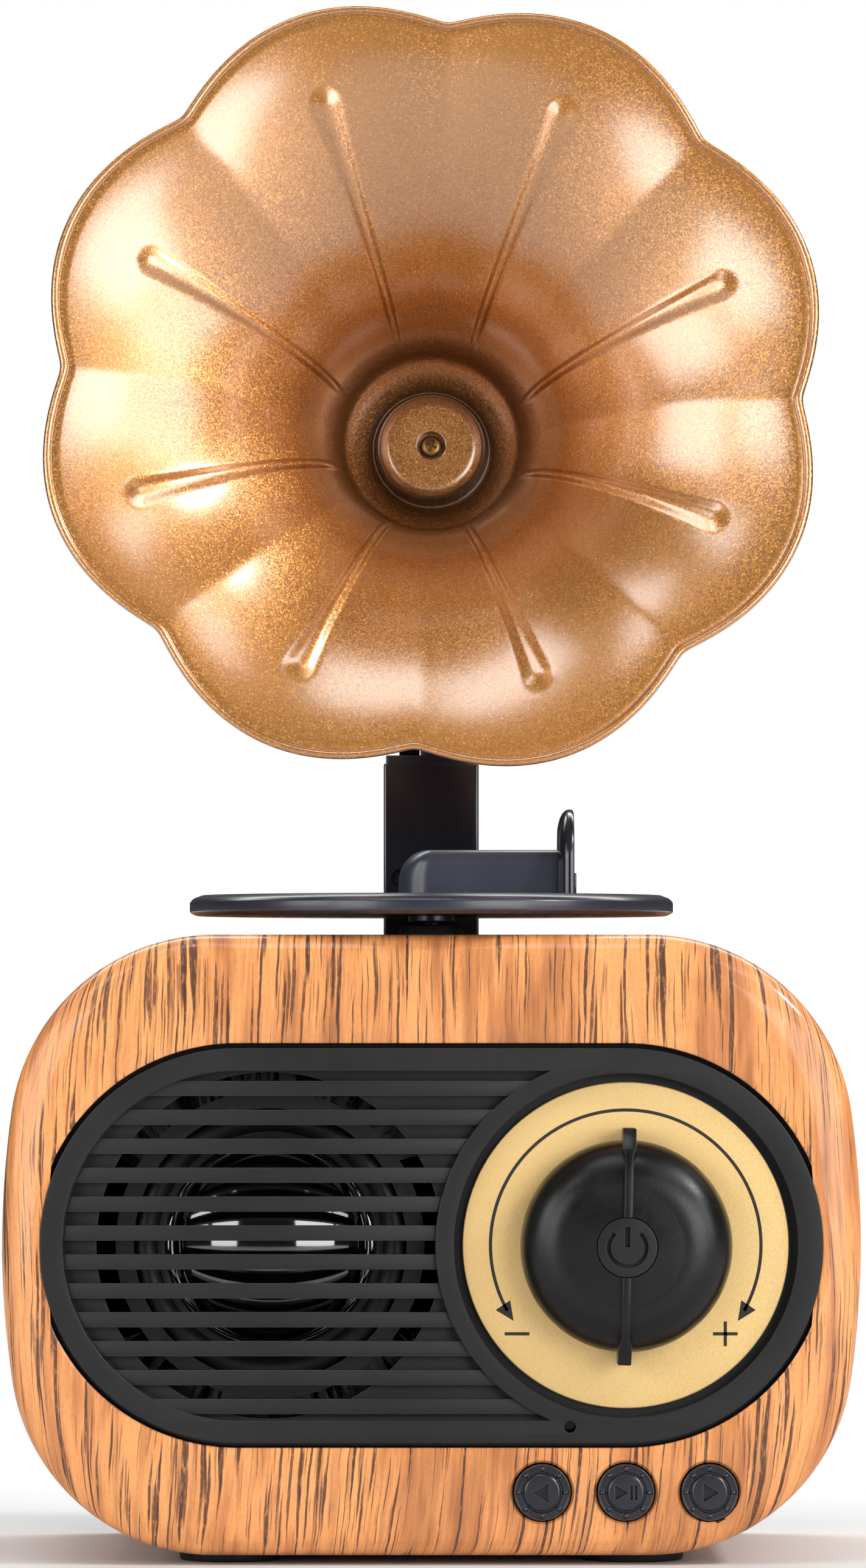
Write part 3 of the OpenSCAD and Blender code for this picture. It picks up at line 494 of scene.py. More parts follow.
def wood_film():
    """Printed wood-grain film under a clear gloss coat.

    The pattern follows the 'grain' attribute, in metres: x across the streaks and y along them. The 'film'
    attribute is 1 where the film covers the moulding.
    """
    n = Nodes("wood_film")
    flow = n.add("ShaderNodeAttribute", attribute_name="grain").outputs["Vector"]
    film = n.add("ShaderNodeAttribute", attribute_name="film").outputs["Fac"]
    sway = n.streaks((16, 10, 1), 2, 0.5, flow)
    sway_fine = n.streaks((90, 60, 1), 3, 0.6, flow)
    split = n.add("ShaderNodeSeparateXYZ", {"Vector": flow})
    across = n.plus(split.outputs["X"], n.times(sway, 0.007))
    across = n.plus(across, n.times(sway_fine, 0.0012))
    grain = n.add("ShaderNodeCombineXYZ", {"X": across, "Y": split.outputs["Y"]}).outputs[0]

    broad = n.streaks((70, 24, 1), 3, 0.55, grain)
    bands = n.streaks((360, 20, 1), 4, 0.65, grain)
    fibre = n.streaks((1900, 160, 1), 5, 0.75, grain)
    speckle = n.streaks((2600, 1500, 1), 3, 0.6, grain)
    tone = n.plus(n.times(broad, 0.6), n.times(bands, 0.4))
    base = n.ramp(tone, [(0.38, srgb(160, 98, 56)), (0.455, srgb(204, 132, 77)), (0.51, srgb(230, 154, 92)),
        (0.62, srgb(240, 164, 99))])
    base = n.mix(n.level(fibre, 0.46, 0.74, 0.0, 0.45), base, srgb(150, 90, 52))
    base = n.mix(n.level(speckle, 0.45, 0.70, 0.0, 0.18), base, srgb(150, 88, 50))

    # Long soft streaks, then narrow dark ones, gathered where the cluster noise is high.
    cluster = n.streaks((75, 24, 1), 2, 0.5, grain)
    soft = n.streaks((800, 30, 1), 2, 0.5, grain)
    soft = n.level(n.math("SUBTRACT", soft, n.level(cluster, 0.40, 0.62, 0.60, 0.50)), 0.0, 0.12)
    base = n.mix(n.times(soft, 0.35), base, srgb(124, 74, 44))
    broken = n.streaks((2600, 500, 1), 3, 0.65, grain)
    for scale, length, low, high, strength in ((1250, 30, 0.655, 0.575, 0.92),
            (2000, 46, 0.670, 0.590, 0.82), (2800, 85, 0.660, 0.612, 0.55)):
        dash = n.streaks((scale, length, 1), 1, 0.4, grain)
        reach = n.level(cluster, 0.36, 0.64, low, high)
        pores = n.level(n.math("SUBTRACT", dash, reach), 0.0, 0.045)
        pores = n.times(pores, n.level(broken, 0.34, 0.48, 0.45, 1.0))
        base = n.mix(n.times(pores, strength), base, srgb(70, 42, 30))
    base = n.mix(film, srgb(16, 15, 15), base)

    peel = n.noise(110, 2, 0.5)
    ripple = n.noise(420, 2, 0.5)
    smear = n.noise(60, 4, 0.6)
    height = n.plus(n.times(peel, 1.0), n.times(ripple, 0.25))
    return n.surface(Base_Color=base, Roughness=n.level(smear, 0.3, 0.7, 0.40, 0.52),
        Specular_IOR_Level=0.35, Normal=n.bump(height, 0.10, 0.10 * MM), Coat_Weight=0.35,
        Coat_Roughness=0.10, Coat_IOR=1.5)


def horn_paint():
    """Bronze-gold metallic paint: tilted flakes under a soft clear coat, with painted glints, a painted highlight
    along the edges and painted shade in hollows.
    """
    n = Nodes("horn_paint")
    flake = n.cells(1 / (0.16 * MM))
    coarse = n.cells(1 / (0.13 * MM))
    cloud = n.noise(30, 4, 0.55)
    base = n.mix(n.level(cloud, 0.3, 0.75, 0.0, 0.6), srgb(204, 140, 66), srgb(192, 128, 56))
    brightness = n.add("ShaderNodeSeparateColor", {"Color": flake}).outputs[0]
    base = n.mix(n.level(brightness, 0.0, 1.0, 0.0, 0.7), base, srgb(146, 92, 42))
    # Painted glints: sparse cells lifted towards a pale highlight colour.
    painted_glint = n.level(n.add("ShaderNodeSeparateColor", {"Color": coarse}).outputs[1], 0.95, 1.0)
    base = n.mix(n.times(painted_glint, 0.45), base, srgb(250, 215, 175))
    # Painted highlight: paler pinkish colour along the edges.
    base = n.mix(n.times(n.edges(0.3), 0.2), base, srgb(235, 196, 160))
    # Painted shade: darker where the surface is enclosed, as in the throat groove and the deep bell.
    hollow = n.add("ShaderNodeAmbientOcclusion", {"Distance": 13 * MM}, samples=6).outputs["AO"]
    base = n.mix(n.level(hollow, 0.12, 0.80, 0.92, 0.0), base, srgb(58, 32, 14))
    normal = n.add("ShaderNodeNewGeometry").outputs["Normal"]
    lean = n.vector("SUBTRACT", flake, (0.5, 0.5, 0.5))
    lean = n.vector("SCALE", lean, Scale=0.34)
    tilted = n.vector("ADD", normal, lean)
    tilted = n.vector("NORMALIZE", tilted)
    return n.surface(Base_Color=base, Metallic=0.95, Roughness=n.level(cloud, 0.3, 0.7, 0.38, 0.46),
        Normal=tilted, Coat_Weight=1.0, Coat_Roughness=0.22, Coat_IOR=2.1)


def dial_metal():
    """Pale-gold satin sheet with a fine bead-blasted grain."""
    n = Nodes("dial_metal")
    grain = n.noise(5200, 2, 0.6)
    cloud = n.noise(70, 4, 0.6)
    base = n.mix(n.level(grain, 0.35, 0.7, 0.0, 0.55), srgb(234, 200, 136), srgb(206, 168, 104))
    base = n.mix(n.level(cloud, 0.4, 0.7, 0.0, 0.2), base, srgb(236, 208, 150))
    return n.surface(Base_Color=base, Metallic=0.55, Roughness=n.level(grain, 0.3, 0.7, 0.42, 0.56),
        Normal=n.bump(grain, 0.35, 0.012 * MM))


def record_black():
    """Satin black of the turning disc, with fine worn rings round its axis."""
    n = Nodes("record_black")
    shifted = n.add("ShaderNodeVectorMath", {0: n.place, 1: (disc_x, disc_y, 0)},
        operation="SUBTRACT").outputs[0]
    part = n.add("ShaderNodeSeparateXYZ", {"Vector": shifted})
    radius = n.math("SQRT", n.plus(n.times(part.outputs["X"], part.outputs["X"]),
        n.times(part.outputs["Y"], part.outputs["Y"])))
    rings = n.noise(1, 3, 0.7, n.add("ShaderNodeCombineXYZ", {"X": n.times(radius, 2400)}).outputs[0])
    dust = n.level(n.noise(900, 3, 0.7), 0.66, 0.8, 0.0, 0.25)
    base = n.mix(n.level(rings, 0.3, 0.7, 0, 0.6), srgb(30, 30, 40), srgb(50, 50, 62))
    base = n.mix(dust, base, srgb(120, 120, 130))
    return n.surface(Base_Color=base, Roughness=n.level(rings, 0.3, 0.7, 0.24, 0.38),
        Normal=n.bump(rings, 0.12, 0.01 * MM), Coat_Weight=0.2, Coat_Roughness=0.15)


MATERIALS = {
    "wood_film": wood_film(),
    "horn_paint": horn_paint(),
    "dial_metal": dial_metal(),
    "disc_plastic": record_black(),
}

# Maker, name, display colour, then the maker's own settings.
FINISHES = (
    (textured_plastic, "fascia_plastic", (20, 20, 20), 0.46, 0.15, 0.03, 0.55, 0.55),
    (textured_plastic, "rear_plastic", (30, 30, 31), 0.55, 0.3, 0.05, 0.15, 0.2),
    (rubber, "knob_plastic", (8, 8, 8), 0.30),
    (textured_plastic, "badge_plastic", (20, 20, 20), 0.42, 0.14, 0.02, 0.25, 0.3),
    (textured_plastic, "button_plastic", (20, 20, 29), 0.24, 0.14, 0.008, 0.15, 0.6, 0.55),
    (gloss_plastic, "mast_plastic", (9, 9, 16), 0.14),
    (gloss_plastic, "arm_plastic", (46, 50, 62), 0.28, 0.15),
    (gloss_plastic, "arm_head_plastic", (24, 26, 34), 0.20, 0.3),
    (metal, "black_oxide", (34, 34, 36), 0.5),
    (metal, "screw_bronze", (150, 112, 70), 0.34),
    (rubber, "foot_rubber", (22, 22, 22), 0.6),
    (metal, "screw_steel", (150, 146, 140), 0.32),
    (metal, "contact_metal", (196, 196, 200), 0.25, (1, 0.2, 1)),
    (coated, "circuit_board", (34, 110, 62), 0.4, 900),
    (coated, "driver_steel", (26, 26, 27), 0.45, 700),
    (rubber, "driver_rubber", (20, 20, 20), 0.45),
    (coated, "driver_paper", (30, 30, 31), 0.7, 2200),
    (glossy_cap, "driver_cap", (7, 7, 8)),
    (coated, "magnet", (70, 70, 72), 0.6, 1200, 0.3),
    (coated, "battery_wrap", (40, 96, 160), 0.35, 400),
    (textured_plastic, "inner_plastic", (60, 60, 60), 0.5, 0.3, 0.03, 0.1, 0.1),
    (coated, "lead_insulation", (190, 40, 34), 0.45, 1500),
    (coated, "light_guide", (150, 190, 245), 0.2, 300),
    (coated, "print_black", (24, 22, 20), 0.5, 3000),
)

for maker, finish, colour, *settings in FINISHES:
    MATERIALS[finish] = maker(finish, srgb(*colour), *settings)


# ---------- cabinet ----------

CORNER_R = 27 * MM
SIDE_R = 125 * MM
SIDE_STEPS = 10
CORNER_STEPS = 32
FLAT_STEPS = 16
FASCIA_GAP = 0.6 * MM
TURN_FROM = 38
TURN_OVER = 44
SLANT_BELOW = 52 * MM


def quarter_arcs(w, h):
    """Centres of the corner and side arcs of the cabinet's outline, and the angle where they meet."""
    corner_z = h - CORNER_R
    side_x = w - SIDE_R
    corner_x = side_x + sqrt((SIDE_R - CORNER_R) ** 2 - corner_z ** 2)
    return side_x, corner_x, corner_z, asin(corner_z / (SIDE_R - CORNER_R))


def cabinet_outline(inset_x, inset_z, inset=0.0):
    """The cabinet's outline in X and Z as metres about its middle, anticlockwise from the right."""
    w, h = half_w - inset_x, half_h - inset_z
    side_x, corner_x, corner_z, tangent = quarter_arcs(w, h)
    quarter = []
    for i in range(SIDE_STEPS):
        a = tangent * i / SIDE_STEPS
        quarter.append((side_x + (SIDE_R - inset) * cos(a), (SIDE_R - inset) * sin(a)))
    for i in range(CORNER_STEPS):
        a = tangent + (pi / 2 - tangent) * i / CORNER_STEPS
        quarter.append((corner_x + (CORNER_R - inset) * cos(a), corner_z + (CORNER_R - inset) * sin(a)))
    for i in range(FLAT_STEPS):
        quarter.append((corner_x * (1 - i / FLAT_STEPS), h - inset))
    right = quarter + [(0.0, h - inset)]
    upper = right + [(-x, z) for x, z in reversed(right[:-1])]
    return upper[:-1] + [(-x, -z) for x, z in upper[:-1]]


def stadium_hit(x, z, r):
    """Where a ray from the middle through (x, z) leaves the stadium of end radius r."""
    dz = fascia_z - mid_z
    lo, hi = 0.0, 3.0
    for _ in range(40):
        k = (lo + hi) / 2
        px, pz = abs(x * k), z * k - dz
        away = abs(pz) if px < fascia_x else hypot(px - fascia_x, pz)
        if away < r:
            lo = k
        else:
            hi = k
    return x * lo, z * lo


def grain_of(p):
    """Film coordinates of a point: the print runs over the front and folds back along the top and sides."""
    _, corner_x, corner_z, _ = quarter_arcs(half_w, half_h)
    depth = p.y - front_y
    dx = max(abs(p.x) - corner_x, 0.0)
    dz = max(abs(p.z - mid_z) - corner_z, 0.0)
    angle = degrees(atan2(dz, dx)) if dx > 0 else 90
    side = 1 - eased((angle - TURN_FROM) / TURN_OVER)
    along = p.z + copysign(depth, p.z - mid_z) * (1 - side)
    across = p.x + copysign(depth, p.x) * side
    slant = -0.02 - 0.10 * held((SLANT_BELOW - p.z) / SLANT_BELOW)
    return (across + slant * along, along, 0.0)


# Depth of the pillowed front's edge, and how far it is drawn in there in X and Z, in mm.
FRONT_EDGE = (
    (0.0, 6.2, 4.6), (0.02, 5.3, 3.8), (0.10, 4.5, 2.9), (0.27, 3.75, 2.15), (0.36, 3.45, 1.92),
    (0.50, 3.0, 1.7), (0.72, 2.3, 1.32), (1.02, 1.6, 0.95), (1.40, 1.0, 0.62), (1.9, 0.52, 0.34),
    (2.5, 0.2, 0.14), (3.2, 0.04, 0.03), (4.0, 0.0, 0.0))
SHELF = 5.6 * MM
REAR_STEP = 2.6 * MM


def outer_rings():
    """Outer skin of the cabinet, front to back: (depth, outline)."""
    rings = [(depth * MM, cabinet_outline(x * MM, z * MM)) for depth, x, z in FRONT_EDGE]
    for k in range(1, 7):
        rings.append((4.0 * MM + (body_depth - 6.2 * MM) * k / 6, cabinet_outline(0, 0)))
    for a in (20, 40, 60, 80):
        t = radians(a)
        inset = 1.0 * MM * (1 - cos(t))
        rings.append((body_depth - 1.4 * MM * (1 - sin(t)), cabinet_outline(0, 0, inset)))
    return rings


def cabinet_body():
    """The housing before its holes are cut: pillowed front with its opening, hollow behind."""
    outer = outer_rings()
    opening = []
    rim = cabinet_outline(0, 0, 1.35 * MM)
    inner = cabinet_outline(0, 0, 2.4 * MM)
    flat = outer[0][1]
    for depth, grow in ((3.6, 0.0), (0.35, 0.0), (0.10, 0.08), (0.0, 0.30)):
        ring = [stadium_hit(x, z, fascia_r + FASCIA_GAP + grow * MM) for x, z in flat]
        opening.append((depth * MM, ring))
    ledge = [stadium_hit(x, z, fascia_r - 3 * MM) for x, z in flat]
    between = []
    for t in (0.25, 0.5, 0.75):
        ring = [(a[0] * (1 - t) + b[0] * t, a[1] * (1 - t) + b[1] * t)
            for a, b in zip(opening[-1][1], flat)]
        between.append((0.0, ring))
    rings = [(SHELF, ledge), (3.6 * MM, ledge)] + opening + between + outer
    rings += [(body_depth, rim), (body_depth - REAR_STEP, rim), (body_depth - REAR_STEP, inner)]
    rings += [(SHELF, inner), (SHELF, ledge)]
    shell = skin([[Vector((x, front_y + d, mid_z + z)) for x, z in ring] for d, ring in rings],
        closed_ends=False)
    return cleaned(shell, merge=0.001)


def cabinet_shell():
    """The wood-look housing with its holes, and where the film lies on it."""
    cutters = []
    for name in BUTTONS:
        x, z = button_place(name)
        cutters.append(rod(HOLE_R, -8, 2, front_frame(x, z), 96))
        cutters.append(turned([(0, -0.3), (HOLE_R, -0.3), (HOLE_R + 0.35, 0.05), (0, 0.05)],
            front_frame(x, z), 96))
    cutters.append(rod(3.3, -4, 4, upright_frame(disc_x, disc_y, shell_hi.z), 48))
    for x, y in foot_places():
        cutters.append(rod(foot_r / MM + 0.1, -2, 0.8, upright_frame(x, y, shell_lo.z), 48))
    shell = carved(cabinet_body(), cutters)
    grain = shell.attributes.new("grain", "FLOAT_VECTOR", "POINT")
    for vertex, item in zip(shell.vertices, grain.data):
        item.vector = grain_of(vertex.co)
    film = shell.attributes.new("film", "FLOAT", "CORNER")
    holes = [button_place(name) for name in BUTTONS]
    for face in shell.polygons:
        covered = 1.0 if outside(face.center, face.normal, holes) else 0.0
        for corner in face.loop_indices:
            film.data[corner].value = covered
    return shell


def outside(p, normal, holes):
    """Whether a spot of the housing is on its outer skin, where the film is."""
    depth = p.y - front_y
    if depth > body_depth - 0.4 * MM:
        return False
    if depth > 0.12 * MM and min(hypot(p.x - x, p.z - z) for x, z in holes) < (HOLE_R + 0.02) * MM:
        return False
    return depth <= 0.3 * MM or normal.x * p.x + normal.z * (p.z - mid_z) > 0


BUTTONS = ("button_previous", "button_play", "button_next")
CAP_R = 3.74
HOLE_R = 3.92


def button_place(name):
    """Centre of a push button."""
    lo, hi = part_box(name)
    return (lo.x + hi.x) / 2, (lo.z + hi.z) / 2


feet_lo, feet_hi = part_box("feet")
foot_r = 6.8 * MM


def foot_places():
    return [(x, y) for x in (feet_lo.x + foot_r, feet_hi.x - foot_r)
        for y in (feet_lo.y + foot_r, feet_hi.y - foot_r)]


def make_cabinet():
    add_object("cabinet_shell", cabinet_shell(), "wood_film", "cabinet", ["housing"])
    height = feet_hi.z / MM
    for i, (x, y) in enumerate(foot_places()):
        r = foot_r / MM
        profile = rounded([(0, 0.25), (r - 1.6, 0.25, 0.1), (r - 1.3, 0, 0.1), (r - 0.15, 0, 0.35),
            (r, 0.5, 0.3), (r, height, 0.1), (0, height)], 4)
        foot = turned(profile, upright_frame(x, y, 0), 72)
        add_object(f"foot_{i + 1}", foot, "foot_rubber", "cabinet", ["feet"])


# ---------- back ----------

PANEL_THICK = 2.2
VENTS = 5

def circle(x, z, r, steps=40):
    return [(x + r * cos(TAU * i / steps), z + r * sin(TAU * i / steps)) for i in range(steps)]


def slot_outline(x, z, w, h, r, steps=6):
    """A rectangle with round corners, in mm."""
    out = []
    for cx, cz, a in ((w / 2 - r, h / 2 - r, 0), (-w / 2 + r, h / 2 - r, 90), (-w / 2 + r, -h / 2 + r, 180),
            (w / 2 - r, -h / 2 + r, 270)):
        out += arc(x + cx, z + cz, r, a, a + 90, steps)
    return out


def centre_of(name):
    lo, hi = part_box(name)
    return (lo + hi) / 2 / MM


def make_back():
    thickness = PANEL_THICK
    y1 = (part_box("back_panel")[1].y - front_y) / MM
    outline = [(x / MM, (mid_z + z) / MM) for x, z in cabinet_outline(0, 0, 1.45 * MM)]
    usb, jack, card, light = (centre_of(n) for n in ("charge_port", "audio_jack", "card_slot",
        "status_light"))
    loops = [outline, slot_outline(usb.x, usb.z, 9.2, 3.4, 1.6), circle(jack.x, jack.z, 3.05),
        slot_outline(card.x, card.z, 13.2, 2.2, 0.4), circle(light.x, light.z, 1.05, 24)]
    for x, z in screw_places():
        loops.append(circle(x, z, 2.15))
    panel = plate(loops, y1 - thickness, y1, 0.25)
    vents = []
    for i in range(VENTS):
        z = mid_z / MM + 8 + i * 3.2
        lines = slot_outline(0, z, 34 - abs(i - VENTS // 2) * 4, 1.1, 0.5)
        vents.append(plate([lines], y1 - 0.55, y1 + 1.0, 0.05, 1))
    panel = carved(panel, vents)
    add_object("back_cover", panel, "rear_plastic", "cabinet", ["back_panel"])


def screw_places():
    lo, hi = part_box("back_panel_screws")
    return [(x / MM, z / MM) for x in (lo.x + 2 * MM, hi.x - 2 * MM) for z in (lo.z + 2 * MM, hi.z - 2 * MM)]


# ---------- fascia and grille ----------

BORDER = 3.0
BAR_COUNT = 12
BAR_PITCH = 3.8
BAR_HEIGHT = 2.0
BAR_FRONT = 0.3
BAR_BACK = 1.9
GRILLE_OPEN_R = 22.8
RING_R = 25.0
WELL_R = 22.6
GRILLE_DROP = -0.25
FLOOR_FRONT = 2.4
FLOOR_BACK = 3.6
MIC_R = 0.75


def stadium_points(r, steps=48):
    fx, fz = fascia_x / MM, fascia_z / MM
    return arc(fx, fz, r, -90, 90, steps) + arc(-fx, fz, r, 90, 270, steps)


def grille_edge(r=None, ring=RING_R):
    """The grille's inner outline: the stadium less the dial's ring."""
    r = r if r is not None else fascia_r / MM - BORDER
    fx, fz = fascia_x / MM, fascia_z / MM
    # The ring is wider than the stadium's inner end, so it meets the stadium's straight top and bottom.
    meet = degrees(asin(r / ring))
    left = arc(-fx, fz, r, 90, 270, 64)
    bulge = arc(dial_x / MM, dial_z / MM, ring, 180 + meet, 180 - meet, 72)
    return left + bulge


def make_fascia():
    r = fascia_r / MM
    front = (fascia_lo.y - front_y) / MM
    fx, fz = fascia_x / MM, fascia_z / MM
    mic = microphone_place()
    border = plate([stadium_points(r), grille_edge(), circle(dial_x / MM, dial_z / MM, WELL_R, 120),
        circle(*mic, MIC_R, 20)], front, BAR_BACK + 0.2, 0.16)
    bars = []
    first = mid_z / MM + GRILLE_DROP + BAR_PITCH * (BAR_COUNT - 1) / 2
    inner = r - BORDER
    for i in range(BAR_COUNT):
        z = first - i * BAR_PITCH
        tall = max(abs(z - fz + BAR_HEIGHT / 2), abs(z - fz - BAR_HEIGHT / 2))
        short = min(abs(z - fz + BAR_HEIGHT / 2), abs(z - fz - BAR_HEIGHT / 2))
        left = -fx - sqrt(max(inner ** 2 - short ** 2, 0)) - 0.25
        right = fx - sqrt(RING_R ** 2 - min(tall, RING_R) ** 2) + 0.3
        bars.append(block((left * MM, front_y + BAR_FRONT * MM, (z - BAR_HEIGHT / 2) * MM),
            (right * MM, front_y + BAR_BACK * MM, (z + BAR_HEIGHT / 2) * MM), 0.10, 2))
    opening = []
    dx, dz = driver_x / MM, driver_z / MM
    for x, z in circle(dx, dz, GRILLE_OPEN_R, 160):
        away = hypot(x - fx, z - fz)
        if away < RING_R:
            k = RING_R / away
            x, z = fx + (x - fx) * k, fz + (z - fz) * k
        opening.append((x, z))
    floor = plate([stadium_points(r - 0.4), opening, circle(dial_x / MM, dial_z / MM, 6.0, 48),
        circle(*mic, MIC_R, 20)], FLOOR_FRONT, FLOOR_BACK, 0.08)
    step = plate([grille_edge(inner + 0.3), opening], BAR_BACK, 2.5, 0.05)
    fascia = joined(border, floor, step, *bars)
    add_object("fascia_moulding", fascia, "fascia_plastic", "cabinet", ["fascia"])


def microphone_place():
    centre = centre_of("microphone")
    return centre.x, centre.z


# ---------- driver ----------

# Height of the driver's flange behind the front plane, and its glossy cap, in mm.
DRIVER_FACE = -5.6
CAP_DOME_R = 21.0
CAP_EDGE_R = 12.6
CAP_TOP = -4.1

def make_driver():
    place = front_frame(driver_x, driver_z)
    face = DRIVER_FACE
    frame_profile = rounded([(24.8, face - 1.2), (24.8, face, 0.3), (19.9, face, 0.5),
        (19.0, face - 0.9, 0.4), (18.3, face - 1.9, 0.3), (18.3, face - 3.4)], 4)
    add_object("driver_frame", turned(frame_profile, place, 120), "driver_steel", "cabinet")
    roll = [(19.0, face - 2.0), (18.2, face - 1.9)]
    roll += arc(16.5, face - 1.9, 1.6, 0, 180, 18)
    roll += [(14.2, face - 1.95), (13.6, face - 2.2)]
    add_object("driver_roll", turned(roll, place, 120), "driver_rubber", "cabinet", ["driver_surround"])
    cone = [(14.6, face - 1.9)]
    for i in range(1, 30):
        t = i / 29
        cone.append((14.6 - 7.6 * t, face - 2.0 - 5.6 * t ** 0.9 + 0.06 * sin(t * 40)))
    add_object("driver_cone_skin", turned(cone, place, 120), "driver_paper", "cabinet", ["driver_cone"])
    ring = rounded([(14.0, face - 2.2), (13.7, face - 1.45, 0.3), (12.9, face - 1.35, 0.3),
        (12.5, face - 2.2)], 5)
    add_object("driver_cap_ring", turned(ring, place, 120), "driver_cap", "cabinet")
    dome = []
    for i in range(31):
        r = CAP_EDGE_R * i / 30
        dome.append((r, CAP_TOP - (CAP_DOME_R - sqrt(CAP_DOME_R ** 2 - r ** 2))))
    add_object("driver_dome", turned(dome, place, 120), "driver_cap", "cabinet", ["driver_dust_cap"])


# ---------- dial, knob and badge ----------

DIAL_DEPTH = 1.5
SCALE_R = 17.8
SCALE_END = 124
LINE = 0.42


def thin(outline, depth):
    """A printed mark: a very thin raised plate at a depth."""
    return plate([outline], depth - 0.03, depth + 0.02)


def arc_band(x, z, r, width, a0, a1, steps):
    """A curved strip as one outline, angles clockwise from the top."""
    outer = [(x + (r + width / 2) * sin(radians(a)), z + (r + width / 2) * cos(radians(a)))
        for a in [a0 + (a1 - a0) * i / steps for i in range(steps + 1)]]
    inner = [(x + (r - width / 2) * sin(radians(a)), z + (r - width / 2) * cos(radians(a)))
        for a in [a1 + (a0 - a1) * i / steps for i in range(steps + 1)]]
    return outer + inner


def make_dial():
    r = dial_r / MM
    sheet = rounded([(6.4, -2.35), (6.4, -DIAL_DEPTH, 0.1), (r - 0.02, -DIAL_DEPTH, 0.2), (r, -2.35)], 3)
    dial_place = front_frame(dial_x, dial_z)
    add_object("dial_sheet", turned(sheet, dial_place, 160), "dial_metal", "cabinet", ["dial_plate"])
    x, z = dial_x / MM, dial_z / MM
    marks = [thin(arc_band(x, z, SCALE_R, LINE, -SCALE_END + 5, SCALE_END - 5, 120), DIAL_DEPTH)]
    for side in (-1, 1):
        a = radians(SCALE_END)
        tip = Vector((x + side * SCALE_R * sin(a), z + SCALE_R * cos(a)))
        ahead = Vector((side * cos(a), -sin(a)))
        across = Vector((ahead.y, -ahead.x))
        base = tip - ahead * 2.5
        head = [tuple(tip), tuple(base + across * 1.15), tuple(base - across * 1.15)]
        marks.append(thin(head, DIAL_DEPTH))
    minus_x, plus_x, sign_z, size = x - 14.3, x + 13.1, z - 11.65, 1.62
    for mark_x, upright in ((minus_x, False), (plus_x, False), (plus_x, True)):
        w, h = (LINE, 2 * size) if upright else (2 * size, LINE)
        marks.append(thin([(mark_x - w / 2, sign_z - h / 2), (mark_x + w / 2, sign_z - h / 2),
            (mark_x + w / 2, sign_z + h / 2), (mark_x - w / 2, sign_z + h / 2)], DIAL_DEPTH))
    add_object("dial_scale", joined(*marks), "print_black", "cabinet")


KNOB_R = 13.9
KNOB_OUT = 9.5
KNOB_BACK = 0.5
RIB_REACH = 15.5


def knob_height(r):
    """Height of the knob's dome above the front plane at a radius, in mm."""
    flat_r = 7.6
    if r <= flat_r:
        return KNOB_OUT - 0.75 - 0.30 * (r / flat_r) ** 2
    t = (r - flat_r) / (KNOB_R - flat_r)
    return KNOB_OUT - 1.05 - 5.75 * (1 - sqrt(max(0.0, 1 - t ** 2.15)))


RIB_TURN = radians(1.3)
BADGE_R = 3.88


def rib_ring(place, z):
    """One cross-section of the knob's rib at a distance from its middle, in mm."""
    away = abs(z)
    top = KNOB_OUT - 0.02 - 3.6 * (away / RIB_REACH) ** 4.5
    half = 0.56 + 0.34 * held((away - 12.0) / 0.8)
    corner = 0.25 if away > RIB_REACH - 0.12 else 0.0
    half -= corner * 0.5
    top -= corner * 0.6
    foot = -KNOB_BACK if away > 7.6 else 5.0
    ring = []
    for px, pz in ((-half, foot), (-half, top - 0.16), (-half + 0.05, top - 0.04), (-half + 0.16, top),
            (half - 0.16, top), (half - 0.05, top - 0.04), (half, top - 0.16), (half, foot)):
        turned_x = px * cos(RIB_TURN) + z * sin(RIB_TURN)
        turned_z = z * cos(RIB_TURN) - px * sin(RIB_TURN)
        ring.append(place @ Vector((turned_x * MM, turned_z * MM, pz * MM)))
    return ring


def make_knob():
    place = front_frame(dial_x, dial_z)
    profile = [(0, KNOB_OUT - 1.9), (BADGE_R + 0.06, KNOB_OUT - 1.9),
        (BADGE_R + 0.08, knob_height(4.0) - 0.10), (BADGE_R + 0.20, knob_height(4.1))]
    for i in range(1, 60):
        t = i / 59
        r = BADGE_R + 0.3 + (KNOB_R - BADGE_R - 0.3) * sin(t * pi / 2)
        profile.append((r, knob_height(r)))
    profile += rounded([(KNOB_R, 2.6), (KNOB_R, 0.4, 0.5), (KNOB_R - 0.5, -KNOB_BACK, 0.4),
        (7.0, -KNOB_BACK, 0.3), (7.0, 3.0, 0.3), (0, 3.0)], 4)
    dome = turned(profile, place, 144)
    parts = []
    steps = 90
    for sign in (-1, 1):
        span = [BADGE_R + 0.1 + (RIB_REACH - BADGE_R - 0.1) * i / steps for i in range(steps + 1)]
        parts.append(skin([rib_ring(place, sign * z) for z in span]))
    knob = joined(dome, *parts)
    add_object("knob_body", knob, "knob_plastic", "volume_knob", ["knob"])
    make_badge(place)


def make_badge(place):
    """Round plate in the knob's middle with a sunken power symbol."""
    face = KNOB_OUT - 0.72
    profile = rounded([(0, face), (BADGE_R, face, 0.06), (BADGE_R, KNOB_OUT - 1.8), (0, KNOB_OUT - 1.8)], 3)
    disc = turned(profile, place, 120)
    x, z = dial_x / MM, dial_z / MM
    cutters = [plate([arc_band(x, z, 2.45, 0.60, 42, 318, 60)], -face - 0.3, -face + 0.85),
        plate([slot_outline(x, z + 1.35, 0.78, 2.7, 0.2)], -face - 0.3, -face + 0.85)]
    disc = carved(disc, cutters)
    add_object("knob_badge_disc", disc, "badge_plastic", "volume_knob", ["knob_badge"])


# ---------- push buttons ----------

